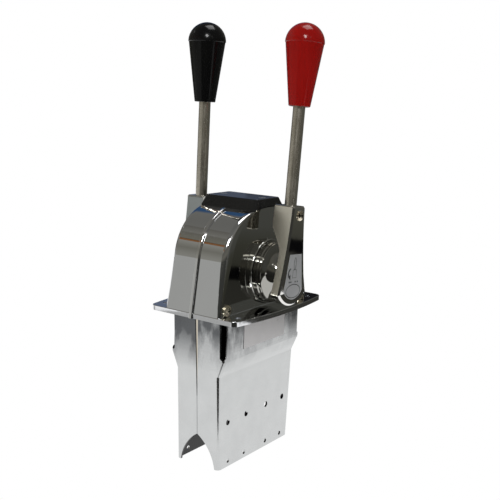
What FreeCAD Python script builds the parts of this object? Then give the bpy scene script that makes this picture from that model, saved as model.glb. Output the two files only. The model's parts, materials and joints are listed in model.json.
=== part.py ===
import FreeCAD, Part
import math
import os
import Sketcher

# Top-mount boat control with two levers: the black one shifts, the red one is the throttle.
# Millimetres. X runs across the control, the throttle lever is on +X and the shift lever on -X.
# Z is up. The origin is the middle of the flange's underside, which sits on the console.

SIZES = [
    ("arch_top", 96.8, "height of the housing's crown above the flange underside"),
    ("arch_top_radius", 104.5, "radius of the crown"),
    ("arch_top_angle", 17.3, "degrees from the middle to the crown's end"),
    ("arch_shoulder_radius", 48.7, "radius between crown and front face"),
    ("face_lean", 8.4, "degrees the front and rear faces lean inwards"),
    ("body_half_width", 30.5, "middle to the housing's side face"),
    ("shoulder_depth", 5.0, "how far the rounded shoulder reaches across"),
    ("panel_top_angle", 6.9, "degrees from the middle to the end of the side panel's crown"),
    ("panel_lean", 16.6, "degrees the side panel's edges lean"),
    ("panel_drop", 0.8, "side panel's crown below the housing's crown"),
    ("panel_recess", 0.6, "depth of the side panel inside its bead"),
    ("bead_width", 1.3, "width of the bead round the side panel"),
    ("wall", 3.0, "housing wall under the crown"),
    ("side_wall", 3.5, "housing wall at the side"),
    ("flange_thickness", 4.5, "thickness of the mounting flange"),
    ("flange_corner_width", 48.5, "middle to the flange's side at its corners"),
    ("flange_bow", 5.0, "how far the flange's long sides bow outwards"),
    ("flange_corner_radius", 7.0, "rounding of the flange's corners"),
    ("flange_edge", 0.5, "rounding of the flange's upper edge"),
    ("ear_hole_across", 41.0, "middle to a mounting hole, across"),
    ("ear_hole_along", 58.0, "middle to a mounting hole, along"),
    ("ear_hole_radius", 2.75, "mounting hole"),
    ("rebate_depth", 1.0, "rebate in the flange's underside for the frame's upper edge"),
    ("rebate_gap", 0.3, "frame to the rebate's edge"),
    ("opening_along", 60.0, "half length of the opening through the flange"),
    ("opening_across", 26.5, "half width of the opening through the flange"),
    ("plate_half", 1.8, "half thickness of the centre plate"),
    ("rib_height", 1.8, "how far the centre plate stands out as a rib"),
    ("rib_rounding", 0.8, "rounding of the rib's edges"),
    ("rib_end", 28.5, "where the rib stops in front of the cap"),
    ("tongue_half", 1.5, "half thickness of the centre plate's tongue at the flange"),
    ("tongue_tip", 0.3, "half thickness of the tongue's lower end"),
    ("seam_half", 0.2, "middle to a frame half's edge below the tongue"),
    ("tongue_depth", 75.0, "how far the tongue hangs between the frame halves"),
    ("tongue_setback", 0.6, "tongue edge behind the frame's face"),
    ("shaft_height", 36.9, "lever shaft above the flange underside"),
    ("shaft_radius", 8.0, "lever shaft"),
    ("journal_radius", 6.0, "inner end of a lever shaft"),
    ("running_gap", 0.04, "radial clearance of a turning shaft"),
    ("fit_gap", 0.03, "radial clearance of a fixed pin or screw"),
    ("axial_gap", 0.5, "clearance between a turning and a fixed face"),
    ("boss_radius", 30.2, "fixed ring round the shaft"),
    ("boss_face", 33.5, "middle to the fixed ring's face"),
    ("boss_rounding", 1.4, "rounding of the fixed ring"),
    ("bush_wall", 3.0, "wall of a shaft bush"),
    ("bush_inner_end", 20.0, "middle to a shaft bush's seat"),
    ("bush_flange", 1.4, "thickness of a shaft bush's flange"),
    ("bush_flange_radius", 13.5, "flange of a shaft bush"),
    ("inner_boss_radius", 15.0, "boss inside the side wall round the bush"),
    ("seal_inner", 13.0, "inner radius of the shaft seal's groove"),
    ("seal_outer", 16.5, "outer radius of the shaft seal's groove"),
    ("seal_depth", 2.0, "depth of the shaft seal's groove"),
    ("seal_gap", 0.3, "seal to the turning hub"),
    ("journal_start", 1.0, "middle to a shaft's inner end"),
    ("centre_bush_half", 5.5, "half length of the centre bush"),
    ("centre_bush_radius", 10.0, "outside of the centre bush"),
    ("side_screw_along", 60.8, "middle to a side screw, along"),
    ("side_screw_height", 9.8, "side screw above the flange underside"),
    ("side_screw_radius", 2.5, "shank of a side screw"),
    ("side_screw_length", 30.2, "shank length of a side screw"),
    ("side_head_radius", 5.1, "head of a side screw"),
    ("side_head_height", 3.2, "head of a side screw"),
    ("side_pad_radius", 5.8, "pad under a side screw's head"),
    ("side_boss_radius", 5.5, "boss inside the housing round a side screw"),
    ("lug_along", 48.0, "middle to a frame lug, along"),
    ("lug_across", 22.0, "middle to a frame screw, across"),
    ("lug_half_length", 5.0, "half length of a frame lug"),
    ("lug_half_width", 4.6, "half width of a frame lug"),
    ("lug_height", 8.0, "top of a frame lug above the flange underside"),
    ("frame_screw_radius", 2.0, "shank of a frame screw"),
    ("frame_head_radius", 4.0, "head of a frame screw"),
    ("frame_head_height", 2.8, "head of a frame screw"),
    ("frame_screw_length", 7.5, "shank length of a frame screw"),
    ("frame_depth", 142.5, "frame below the flange underside"),
    ("frame_top_half", 64.5, "half length of the frame at the flange"),
    ("frame_bottom_half", 57.5, "half length of the frame at its foot"),
    ("frame_half_width", 24.5, "middle to the frame's side plate"),
    ("sheet", 2.0, "thickness of the frame's sheet"),
    ("bend_radius", 4.0, "outer radius of the frame's bends"),
    ("joggle", 6.0, "how far the side plate steps outwards under the flange"),
    ("joggle_start", 53.0, "depth where the step starts"),
    ("joggle_end", 38.0, "depth where the step ends"),
    ("joggle_half_length", 57.9, "half length of the stepped plate"),
    ("relief_depth", 36.0, "depth of the relief slot at each corner"),
    ("front_edge", 25.8, "middle to the front flange's free edge beside the slot"),
    ("tab_thickness", 2.0, "thickness of a bent-in tab"),
    ("arch_cut_height", 30.4, "height of the pointed cut-out in the frame's end faces"),
    ("arch_cut_half", 19.6, "half width of the pointed cut-out at the foot"),
    ("arch_cut_radius", 42.0, "radius of the pointed cut-out's sides"),
    ("big_hole_drop", 99.0, "depth of the row of large cable clamp holes"),
    ("big_hole_radius", 2.8, "large cable clamp hole"),
    ("big_hole_inner", 16.4, "middle to the inner large holes"),
    ("big_hole_outer", 45.2, "middle to the outer large holes"),
    ("small_hole_drop", 137.0, "depth of the row of small holes"),
    ("small_hole_radius", 2.0, "small hole"),
    ("small_hole_inner", 17.8, "middle to the inner small holes"),
    ("small_hole_outer", 43.2, "middle to the outer small holes"),
    ("foil_half_length", 33.5, "half length of the foil plate on the frame"),
    ("foil_top", 1.5, "foil plate's upper edge below the flange"),
    ("foil_bottom", 31.0, "foil plate's lower edge below the flange"),
    ("foil_thickness", 0.3, "thickness of foil and label"),
    ("cap_top", 103.8, "top of the plastic cap"),
    ("cap_top_half_width", 29.3, "half width of the cap's top"),
    ("cap_top_half_length", 18.4, "half length of the cap's top"),
    ("cap_base", 90.0, "level where the cap's flared sides are measured"),
    ("cap_base_half_width", 32.6, "half width of the flared sides there"),
    ("cap_base_half_length", 26.6, "half length of the flared sides there"),
    ("cap_corner", 3.2, "corner rounding of the cap"),
    ("cap_edge", 1.0, "rounding of the cap's top edge"),
    ("cap_wall", 2.2, "wall of the cap"),
    ("cap_seat_gap", 0.05, "cap above the crown"),
    ("cap_screw_across", 22.0, "middle to a cap screw"),
    ("cap_screw_radius", 1.7, "shank of a cap screw"),
    ("cap_head_radius", 3.4, "head of a cap screw"),
    ("cap_screw_length", 15.0, "length of a cap screw"),
    ("cap_post_radius", 4.4, "post round a cap screw, in cap and housing"),
    ("cap_post_depth", 9.0, "post under the crown"),
    ("crank_inner", 6.0, "middle to the crank collar's inner face"),
    ("crank_outer", 16.2, "middle to the crank collar's outer face"),
    ("crank_collar_radius", 13.0, "crank collar"),
    ("crank_link_half", 3.1, "half thickness of the crank's link"),
    ("crank_length", 44.0, "shaft to the cable swivel"),
    ("crank_eye_radius", 7.5, "crank's end"),
    ("crank_pin_radius", 2.5, "pin through crank and shaft"),
    ("ball_radius", 4.75, "detent ball"),
    ("ball_track", 1.5, "depth of the ball's track in the collar"),
    ("notch_depth", 0.6, "notch below the ball's track"),
    ("contact_gap", 0.15, "ball or shoe to the turning collar"),
    ("pillar_radius", 6.8, "pillar that holds ball or shoe"),
    ("pillar_gap", 1.6, "pillar to the collar"),
    ("pillar_bore", 5.05, "bore of the pillar"),
    ("thread_gap", 0.1, "screw in its threaded hole"),
    ("adjuster_top", 90.0, "top of the adjusting screws"),
    ("adjuster_length", 12.0, "length of the adjusting screws"),
    ("socket_radius", 2.4, "socket in an adjusting screw"),
    ("spring_radius", 3.4, "mean radius of the detent spring"),
    ("spring_wire", 0.65, "half thickness of the detent spring's square wire"),
    ("spring_turns", 6.0, "turns of the detent spring"),
    ("shoe_height", 12.0, "height of the friction shoe"),
    ("shoe_radius", 4.9, "friction shoe"),
    ("swivel_pin_radius", 4.0, "pin of a cable swivel"),
    ("swivel_head_radius", 6.5, "head of a cable swivel"),
    ("swivel_head_length", 9.0, "head of a cable swivel"),
    ("swivel_bore", 2.6, "hole for the cable's end rod"),
    ("clip_radius", 6.4, "retaining clip"),
    ("clip_thickness", 1.0, "retaining clip"),
    ("clip_groove", 3.2, "radius at the bottom of the clip's groove"),
    ("clip_mouth", 2.6, "half width of the clip's mouth"),
    ("hub_radius", 28.6, "turning hub beside the fixed ring"),
    ("hub_step", 38.2, "middle to the hub's step"),
    ("rim_radius", 27.6, "hub's rim"),
    ("rim_face", 41.4, "middle to the hub's rim"),
    ("rim_width", 1.6, "width of the hub's rim"),
    ("rim_recess", 0.8, "hub's face behind the rim"),
    ("hub_cone_radius", 13.5, "hub where the arm seats"),
    ("hub_flare_radius", 17.0, "radius of the hub's hollow flare"),
    ("rod_across", 49.7, "middle to a lever rod"),
    ("arm_top_half", 10.2, "half thickness of the arm's head"),
    ("arm_plate", 8.7, "thickness of the arm's lower plate"),
    ("arm_top", 62.6, "arm's head above the shaft"),
    ("arm_head_bottom", 43.0, "lower end of the arm's thick head, above the shaft"),
    ("arm_neck_bottom", 23.0, "where the arm reaches its plate thickness, above the shaft"),
    ("arm_head_width", 9.9, "half width of the arm's head"),
    ("arm_foot_width", 22.5, "half width of the arm at its lower corners"),
    ("arm_foot_radius", 28.2, "round lower end of the arm"),
    ("arm_flare_radius", 400.0, "radius of the arm's hollow sides"),
    ("arm_bevel", 1.7, "bevel round the arm's outer face"),
    ("arm_corner", 3.0, "rounding of the arm's lower corners"),
    ("arm_head_corner", 2.0, "rounding of the arm's upper corners"),
    ("arm_blend", 14.0, "rounding of the arm's slope behind"),
    ("tang_half", 5.6, "half side of the shaft's square end"),
    ("tang_length", 4.5, "length of the shaft's square end"),
    ("hub_screw_radius", 4.0, "shank of the hub screw"),
    ("hub_head_radius", 7.6, "head of the hub screw"),
    ("hub_screw_depth", 16.0, "hub screw's reach into the shaft"),
    ("rod_radius", 5.5, "lever rod"),
    ("rod_socket", 26.0, "depth of the rod's socket in the arm"),
    ("knob_base", 150.9, "knob's base above the shaft"),
    ("knob_length", 73.5, "length of a knob"),
    ("knob_radius", 17.7, "round top of a knob"),
    ("knob_ledge", 0.5, "small step under the knob's round top"),
    ("knob_base_radius", 9.9, "knob at its base"),
    ("knob_bore_depth", 34.0, "rod inside the knob"),
    ("knob_edge", 0.9, "rounding of the knob's base"),
    ("rod_screw_height", 54.3, "rod clamp screw above the shaft"),
    ("rod_screw_radius", 2.5, "shank of a rod clamp screw"),
    ("rod_head_radius", 4.8, "head of a rod clamp screw"),
    ("rod_head_height", 3.2, "head of a rod clamp screw"),
    ("label_top", 19.0, "label's upper edge above the shaft"),
    ("label_top_half", 9.6, "half width of the label's upper edge"),
    ("label_side", 14.5, "label's side corners below the shaft"),
    ("label_side_half", 15.4, "half width of the label at its side corners"),
    ("label_radius", 19.0, "radius of the label's round lower edge"),
    ("shift_lean", 1.0, "degrees the shift lever leans back at rest"),
    ("throttle_lean", 4.6, "degrees the throttle lever leans back at rest"),
    ("shift_throw", 36.0, "degrees from neutral to a gear notch"),
]

doc = FreeCAD.newDocument("twin_lever_control")
sheet = doc.addObject("Spreadsheet::Sheet", "sizes")


class Size:
    """A length or angle: its number, and the formula over the sheet's cells that gives it."""

    def __init__(self, number, formula):
        self.number = number
        self.formula = formula

    def __add__(self, other):
        other = as_size(other)
        return Size(self.number + other.number, f"({self.formula} + {other.formula})")

    def __sub__(self, other):
        other = as_size(other)
        return Size(self.number - other.number, f"({self.formula} - {other.formula})")

    def __mul__(self, other):
        other = as_size(other)
        return Size(self.number * other.number, f"({self.formula} * {other.formula})")

    def __truediv__(self, other):
        other = as_size(other)
        return Size(self.number / other.number, f"({self.formula} / {other.formula})")

    def __neg__(self):
        return Size(-self.number, f"(0 - {self.formula})")

    __radd__ = __add__
    __rmul__ = __mul__

    def __rsub__(self, other):
        return as_size(other) - self


def as_size(value):
    if isinstance(value, Size):
        return value
    return Size(float(value), f"({float(value)})")


def sine(angle):
    return Size(math.sin(math.radians(angle.number)), f"sin({angle.formula})")


def cosine(angle):
    return Size(math.cos(math.radians(angle.number)), f"cos({angle.formula})")


def tangent(angle):
    return Size(math.tan(math.radians(angle.number)), f"tan({angle.formula})")


def root(size):
    return Size(math.sqrt(size.number), f"sqrt({size.formula})")


class Dimensions:
    """The sheet's sizes by name."""


for row, (alias, value, meaning) in enumerate(SIZES, start=1):
    sheet.set(f"A{row}", meaning)
    sheet.set(f"B{row}", str(value))
    sheet.setAlias(f"B{row}", alias)
    setattr(Dimensions, alias, Size(value, f"sizes.{alias}"))
doc.recompute()
d = Dimensions
ZERO = as_size(0)


class Round:
    """A full circle in a sketch."""

    def __init__(self, centre, radius):
        self.centre = centre
        self.radius = radius


class Path:
    """A closed outline of lines and arcs, from point to point."""

    def __init__(self, *start):
        self.points = [tuple(as_size(value) for value in start)]
        self.edges = []

    def line(self, *point):
        self.points.append(tuple(as_size(value) for value in point))
        self.edges.append(None)
        return self

    def arc(self, point, radius, turn):
        """An arc of less than half a circle; turn is 1 to the left, -1 to the right."""
        self.points.append(tuple(as_size(value) for value in point))
        self.edges.append((as_size(radius), turn))
        return self

    def close(self):
        self.edges.append(None)
        return self

    def close_round(self, radius, turn):
        """Closes the outline with an arc back to its first point."""
        self.edges.append((as_size(radius), turn))
        return self

    def sided(self, side):
        """The same outline, mirrored in its first coordinate when side is -1."""
        path = Path(self.points[0][0] * side, self.points[0][1])
        path.points = [(point[0] * side, point[1]) for point in self.points]
        path.edges = [edge and (edge[0], edge[1] * side) for edge in self.edges]
        return path


def box_path(low, high):
    return Path(low[0], low[1]).line(high[0], low[1]).line(high[0], high[1]).line(low[0], high[1]).close()


def fix_coordinate(sketch, kind, geometry, place, size):
    """Ties one coordinate of a sketch point to its formula."""
    if size.formula == ZERO.formula:
        axis = -2 if kind == "DistanceX" else -1
        sketch.addConstraint(Sketcher.Constraint("PointOnObject", geometry, place, axis))
    elif size.number < 0:
        index = sketch.addConstraint(Sketcher.Constraint(kind, geometry, place, -1, 1, -size.number))
        sketch.setExpression(f"Constraints[{index}]", (-size).formula)
    else:
        index = sketch.addConstraint(Sketcher.Constraint(kind, -1, 1, geometry, place, size.number))
        sketch.setExpression(f"Constraints[{index}]", size.formula)


def fix_radius(sketch, geometry, size):
    index = sketch.addConstraint(Sketcher.Constraint("Radius", geometry, size.number))
    sketch.setExpression(f"Constraints[{index}]", size.formula)


def draw_round(sketch, shape):
    centre = FreeCAD.Vector(as_size(shape.centre[0]).number, as_size(shape.centre[1]).number, 0)
    circle = Part.Circle(centre, FreeCAD.Vector(0, 0, 1), as_size(shape.radius).number)
    geometry = sketch.addGeometry(circle, False)
    fix_coordinate(sketch, "DistanceX", geometry, 3, as_size(shape.centre[0]))
    fix_coordinate(sketch, "DistanceY", geometry, 3, as_size(shape.centre[1]))
    fix_radius(sketch, geometry, as_size(shape.radius))


def arc_geometry(first, last, radius, turn):
    """The arc, and which of its ends is the first point."""
    chord = last - first
    middle = (first + last) * 0.5
    across = FreeCAD.Vector(-chord.y, chord.x, 0).normalize()
    reach = math.sqrt(max(radius ** 2 - (chord.Length / 2) ** 2, 0))
    centre = middle + across * reach * turn
    begin, end = (first, last) if turn > 0 else (last, first)
    start_angle = math.atan2(begin.y - centre.y, begin.x - centre.x)
    end_angle = math.atan2(end.y - centre.y, end.x - centre.x)
    circle = Part.Circle(centre, FreeCAD.Vector(0, 0, 1), radius)
    return Part.ArcOfCircle(circle, start_angle, end_angle), 1 if turn > 0 else 2


def draw_path(sketch, path):
    places = [FreeCAD.Vector(point[0].number, point[1].number, 0) for point in path.points]
    ends = []
    for index, edge in enumerate(path.edges):
        first = places[index]
        last = places[(index + 1) % len(places)]
        if edge is None:
            geometry = sketch.addGeometry(Part.LineSegment(first, last), False)
            ends.append((geometry, 1, 2))
        else:
            arc, start = arc_geometry(first, last, edge[0].number, edge[1])
            geometry = sketch.addGeometry(arc, False)
            ends.append((geometry, start, 3 - start))
            fix_radius(sketch, geometry, edge[0])
    for index, (geometry, start, _) in enumerate(ends):
        before, _, finish = ends[index - 1]
        sketch.addConstraint(Sketcher.Constraint("Coincident", before, finish, geometry, start))
        fix_coordinate(sketch, "DistanceX", geometry, start, path.points[index][0])
        fix_coordinate(sketch, "DistanceY", geometry, start, path.points[index][1])


# The order in which a sketch on each origin plane takes a point's X, Y and Z, with their signs
PLANE_AXES = {
    "XY": ((0, 1), (1, 1), (2, 1)),
    "XZ": ((0, 1), (2, 1), (1, -1)),
    "YZ": ((1, 1), (2, 1), (0, 1)),
}


class Piece:
    """One sub-part: a body of sketched features, named as its file is."""

    def __init__(self, label):
        self.body = doc.addObject("PartDesign::Body", label)
        self.body.Label = label

    def origin(self, role):
        return [item for item in self.body.Origin.OriginFeatures if item.Role == role][0]

    def sketch(self, name, plane, outlines, at):
        sketch = self.body.newObject("Sketcher::SketchObject", name + "_outline")
        sketch.AttachmentSupport = [(self.origin(plane + "_Plane"), "")]
        sketch.MapMode = "FlatFace"
        at = [as_size(value) for value in at]
        local = [at[axis] * sign for axis, sign in PLANE_AXES[plane]]
        base = FreeCAD.Vector(*[size.number for size in local])
        sketch.AttachmentOffset = FreeCAD.Placement(base, FreeCAD.Rotation())
        for letter, size in zip("xyz", local):
            sketch.setExpression(f"AttachmentOffset.Base.{letter}", size.formula)
        for outline in outlines:
            if isinstance(outline, Round):
                draw_round(sketch, outline)
            else:
                draw_path(sketch, outline)
        return sketch

    def feature(self, kind, name):
        feature = self.body.newObject("PartDesign::" + kind, name)
        feature.Label = self.body.Label + "_" + name
        return feature

    def pad(self, name, plane, outlines, length, at=(0, 0, 0), side=1, both=False):
        """Adds the outlines along the plane's normal, or against it when side is -1."""
        sketch = self.sketch(name, plane, outlines, at)
        pad = self.feature("Pad", name)
        pad.Profile = sketch
        pad.setExpression("Length", as_size(length).formula)
        pad.SideType = "Symmetric" if both else "One side"
        pad.Reversed = side < 0
        return self.done(pad)

    def pocket(self, name, plane, outlines, length, at=(0, 0, 0), side=1, both=False):
        """Cuts the outlines along the plane's normal, or against it when side is -1."""
        sketch = self.sketch(name, plane, outlines, at)
        before = self.volume()
        pocket = self.feature("Pocket", name)
        pocket.Profile = sketch
        pocket.setExpression("Length", as_size(length).formula)
        pocket.SideType = "Symmetric" if both else "One side"
        pocket.Reversed = side > 0
        self.done(pocket)
        self.check_cut(name, before)
        return pocket

    def turn(self, name, plane, path, axis, at=(0, 0, 0)):
        """Turns the outline about the sketch's H or V axis."""
        sketch = self.sketch(name, plane, [path], at)
        turned = self.feature("Revolution", name)
        turned.Profile = sketch
        turned.ReferenceAxis = (sketch, [axis + "_Axis"])
        turned.Angle = 360
        return self.done(turned)

    def groove(self, name, plane, path, axis, at=(0, 0, 0), angle=360):
        """Cuts the outline turned about the sketch's H or V axis, half the angle to each side."""
        sketch = self.sketch(name, plane, [path], at)
        before = self.volume()
        groove = self.feature("Groove", name)
        groove.Profile = sketch
        groove.ReferenceAxis = (sketch, [axis + "_Axis"])
        groove.Midplane = angle < 360
        groove.Angle = angle
        self.done(groove)
        self.check_cut(name, before)
        return groove

    def loft(self, name, kind, plane, sections):
        """Joins outlines at several levels; sections are (outline, at)."""
        sketches = []
        for number, (outline, at) in enumerate(sections):
            sketches.append(self.sketch(f"{name}_{number}", plane, [outline], at))
        loft = self.feature(kind, name)
        loft.Profile = sketches[0]
        loft.Sections = sketches[1:]
        return self.done(loft)

    def soften(self, name, kind, size, wanted):
        """Rounds or bevels the edges that wanted picks."""
        doc.recompute()
        tip = self.body.Tip
        names = [f"Edge{number}" for number, edge in enumerate(tip.Shape.Edges, start=1) if wanted(edge)]
        if not names:
            raise RuntimeError(f"{self.body.Label}: {name} finds no edge")
        feature = self.feature(kind, name)
        feature.Base = (tip, names)
        feature.setExpression("Radius" if kind == "Fillet" else "Size", as_size(size).formula)
        return self.done(feature)

    def mirror(self, name, originals, plane):
        mirrored = self.feature("Mirrored", name)
        mirrored.Originals = originals
        mirrored.MirrorPlane = (self.origin(plane + "_Plane"), [""])
        self.body.Tip = mirrored
        return self.done(mirrored)

    def stand(self, height, lean):
        """Places a lever's piece on its shaft, leaning back by an angle."""
        turn = FreeCAD.Rotation(FreeCAD.Vector(-1, 0, 0), lean.number)
        self.body.Placement = FreeCAD.Placement(FreeCAD.Vector(0, 0, height.number), turn)
        self.body.setExpression("Placement.Base.z", height.formula)
        self.body.setExpression("Placement.Rotation.Angle", lean.formula)

    def volume(self):
        doc.recompute()
        return self.body.Shape.Volume

    def check_cut(self, name, before):
        if self.body.Shape.Volume > before - 1e-3:
            raise RuntimeError(f"{self.body.Label}: {name} cuts nothing")

    def done(self, feature):
        doc.recompute()
        return feature


def near(value, size, slack=0.02):
    return abs(value - as_size(size).number) < slack


def spans(edge, axis):
    """The lowest and highest coordinate of an edge along one axis."""
    box = edge.BoundBox
    return ((box.XMin, box.XMax), (box.YMin, box.YMax), (box.ZMin, box.ZMax))[axis]


def lies_at(edge, axis, size):
    low, high = spans(edge, axis)
    return near(low, size) and near(high, size)


def arch_path(inset=0, base=0, share=0):
    """The housing's outline seen from the side. share runs from the crown's outline at 0
    to the side panel's at 1, inset moves it inwards and base is its lower level."""
    inset = as_size(inset)
    base = as_size(base)
    share = as_size(share)
    top_angle = d.arch_top_angle + (d.panel_top_angle - d.arch_top_angle) * share
    lean = d.face_lean + (d.panel_lean - d.face_lean) * share
    top = d.arch_top - d.panel_drop * share
    offset = d.arch_top_radius - d.arch_shoulder_radius
    centre_y = offset * sine(top_angle)
    centre_z = top - d.arch_top_radius + offset * cosine(top_angle)
    shoulder = d.arch_shoulder_radius - inset
    crown = d.arch_top_radius - inset
    crown_end = (centre_y + shoulder * sine(top_angle), centre_z + shoulder * cosine(top_angle))
    face_end = (centre_y + shoulder * cosine(lean), centre_z + shoulder * sine(lean))
    foot = (face_end[0] + (face_end[1] - base) * tangent(lean), base)
    path = Path(-foot[0], foot[1]).line(-face_end[0], face_end[1])
    path.arc((-crown_end[0], crown_end[1]), shoulder, -1)
    path.arc(crown_end, crown, -1).arc(face_end, shoulder, -1).line(*foot)
    return path.close()


HALF_LENGTH = arch_path().points[-1][0]


def flange_path():
    """Half of the flange seen from above, from the centre plate to its bowed side."""
    side = d.flange_corner_width
    corner = d.flange_corner_radius
    straight = HALF_LENGTH - corner
    bow_radius = (straight * straight + d.flange_bow * d.flange_bow) / (d.flange_bow * 2)
    path = Path(d.plate_half, -HALF_LENGTH).line(side - corner, -HALF_LENGTH)
    path.arc((side, -straight), corner, 1).arc((side, straight), bow_radius, 1)
    path.arc((side - corner, HALF_LENGTH), corner, 1).line(d.plate_half, HALF_LENGTH)
    return path.close()


def housing_half(label, side):
    """One die-cast half: flange, arched shell with rounded shoulder, recessed panel and boss."""
    piece = Piece(label)
    inner = d.plate_half * side
    shoulder = d.body_half_width - d.shoulder_depth
    axis = (ZERO, d.shaft_height)
    piece.pad("shell", "YZ", [arch_path()], shoulder - d.plate_half, at=(inner, 0, 0), side=side)
    piece.pad("flange", "XY", [flange_path().sided(side)], d.flange_thickness)
    sections = []
    for angle in (0, 30, 60, 90):
        reach = math.sin(math.radians(angle))
        share = 1 - math.cos(math.radians(angle))
        sections.append((arch_path(share=share), ((shoulder + d.shoulder_depth * reach) * side, 0, 0)))
    piece.loft("shoulder", "AdditiveLoft", "YZ", sections)
    recessed = arch_path(inset=d.bead_width, base=d.flange_thickness, share=1)
    piece.pocket("panel", "YZ", [recessed], d.panel_recess, at=(d.body_half_width * side, 0, 0), side=-side)
    ring_start = d.body_half_width - d.side_wall + 1
    piece.pad("ring", "YZ", [Round(axis, d.boss_radius)], d.boss_face - ring_start,
              at=(ring_start * side, 0, 0), side=side)
    piece.soften("ring_edge", "Fillet", d.boss_rounding,
                 lambda edge: lies_at(edge, 0, d.boss_face * side))
    pads = [Round((sign * d.side_screw_along, d.side_screw_height), d.side_pad_radius) for sign in (-1, 1)]
    piece.pad("screw_pads", "YZ", pads, d.body_half_width - ring_start,
              at=(ring_start * side, 0, 0), side=side)
    piece.soften("flange_edge", "Fillet", d.flange_edge,
                 lambda edge: lies_at(edge, 2, d.flange_thickness)
                 and max(abs(value) for value in spans(edge, 0)) > d.body_half_width.number + 5)
    cavity_depth = d.body_half_width - d.side_wall - d.plate_half
    piece.pocket("cavity", "YZ", [arch_path(inset=d.wall, base=d.flange_thickness)], cavity_depth,
                 at=(inner, 0, 0), side=side)
    opening = box_path((d.plate_half, -d.opening_along), (d.opening_across, d.opening_along)).sided(side)
    piece.pocket("opening", "XY", [opening], d.flange_thickness)
    wall_start = d.body_half_width - d.side_wall + 0.5
    piece.pad("bush_boss", "YZ", [Round(axis, d.inner_boss_radius)], wall_start - d.bush_inner_end,
              at=(d.bush_inner_end * side, 0, 0), side=side)
    bosses = [Round((sign * d.side_screw_along, d.side_screw_height), d.side_boss_radius) for sign in (-1, 1)]
    piece.pad("screw_bosses", "YZ", bosses, wall_start - d.plate_half, at=(inner, 0, 0), side=side)
    lugs = []
    for sign in (-1, 1):
        low = (d.lug_across - d.lug_half_width, d.lug_along * sign - d.lug_half_length)
        high = (wall_start, d.lug_along * sign + d.lug_half_length)
        lugs.append(box_path(low, high).sided(side))
    piece.pad("lugs", "XY", lugs, d.lug_height)
    rebate_across = d.frame_half_width + d.joggle + d.rebate_gap
    rebate_along = d.frame_top_half + d.rebate_gap
    rebate = box_path((d.plate_half, -rebate_along), (rebate_across, rebate_along)).sided(side)
    piece.pocket("frame_rebate", "XY", [rebate], d.rebate_depth)
    pillar_x = (d.crank_inner + d.crank_outer) / 2 * side
    pillar_foot = d.shaft_height + d.crank_collar_radius + d.pillar_gap
    under_crown = d.arch_top - d.wall / 2
    piece.pad("pillar", "XY", [Round((0, 0), d.pillar_radius)], under_crown - pillar_foot,
              at=(pillar_x, 0, pillar_foot))
    piece.pad("cap_post", "XY", [Round((0, 0), d.cap_post_radius)], d.cap_post_depth,
              at=(d.cap_screw_across * side, 0, under_crown - d.cap_post_depth))
    piece.pocket("pillar_bore", "XY", [Round((0, 0), d.pillar_bore)], d.arch_top - pillar_foot + 1,
                 at=(pillar_x, 0, pillar_foot))
    piece.pocket("cap_screw_hole", "XY", [Round((0, 0), d.cap_screw_radius + d.fit_gap)],
                 d.cap_post_depth + d.wall, at=(d.cap_screw_across * side, 0, under_crown - d.cap_post_depth))
    bush_bore = d.shaft_radius + d.bush_wall + d.fit_gap
    piece.pocket("bush_bore", "YZ", [Round(axis, bush_bore)], d.boss_face - d.bush_inner_end + 1,
                 at=(d.bush_inner_end * side, 0, 0), side=side)
    piece.pocket("seal_groove", "YZ", [Round(axis, d.seal_outer), Round(axis, d.seal_inner)], d.seal_depth,
                 at=(d.boss_face * side, 0, 0), side=-side)
    holes = [Round((sign * d.side_screw_along, d.side_screw_height), d.side_screw_radius + d.fit_gap)
             for sign in (-1, 1)]
    piece.pocket("side_screw_holes", "YZ", holes, d.body_half_width, at=(inner, 0, 0), side=side)
    ears = [Round((d.ear_hole_across * side, sign * d.ear_hole_along), d.ear_hole_radius) for sign in (-1, 1)]
    piece.pocket("ear_holes", "XY", ears, d.flange_thickness)
    lug_holes = [Round((d.lug_across * side, sign * d.lug_along), d.frame_screw_radius + d.fit_gap)
                 for sign in (-1, 1)]
    piece.pocket("lug_holes", "XY", lug_holes, d.lug_height - 1)
    return piece


def centre_plate():
    """Plate between the halves: its edge is the rib over the crown, its tongue parts the frame."""
    piece = Piece("centre_plate")
    piece.pad("rib", "YZ", [arch_path(inset=-d.rib_height)], d.plate_half * 2, both=True)
    piece.soften("rib_edges", "Fillet", d.rib_rounding,
                 lambda edge: (lies_at(edge, 0, d.plate_half) or lies_at(edge, 0, -d.plate_half))
                 and not lies_at(edge, 2, 0))
    gap = box_path((-d.rib_end, d.arch_top / 2), (d.rib_end, d.arch_top * 1.5))
    piece.pocket("rib_gap", "YZ", [gap], d.plate_half * 4, both=True)
    piece.pad("web", "YZ", [arch_path()], d.plate_half * 2, both=True)
    slope = (d.frame_top_half - d.frame_bottom_half) / d.frame_depth
    top = d.frame_top_half - d.tongue_setback
    bottom = top - slope * d.tongue_depth
    tongue = Path(-bottom, -d.tongue_depth).line(bottom, -d.tongue_depth).line(top, 0).line(-top, 0).close()
    piece.pad("tongue", "YZ", [tongue], d.tongue_half * 2, both=True)
    beside = Path(d.tongue_tip, -d.tongue_depth).line(d.plate_half, -d.tongue_depth)
    beside.line(d.plate_half, 0).line(d.tongue_half, 0).close()
    piece.pocket("tongue_taper", "XZ", [beside, beside.sided(-1)], d.frame_top_half * 3, both=True)
    piece.pocket("bush_hole", "YZ", [Round((0, d.shaft_height), d.centre_bush_radius + d.fit_gap)],
                 d.plate_half * 4, both=True)
    holes = [Round((sign * d.side_screw_along, d.side_screw_height), d.side_screw_radius + d.fit_gap)
             for sign in (-1, 1)]
    piece.pocket("screw_holes", "YZ", holes, d.plate_half * 4, both=True)
    return piece


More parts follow.
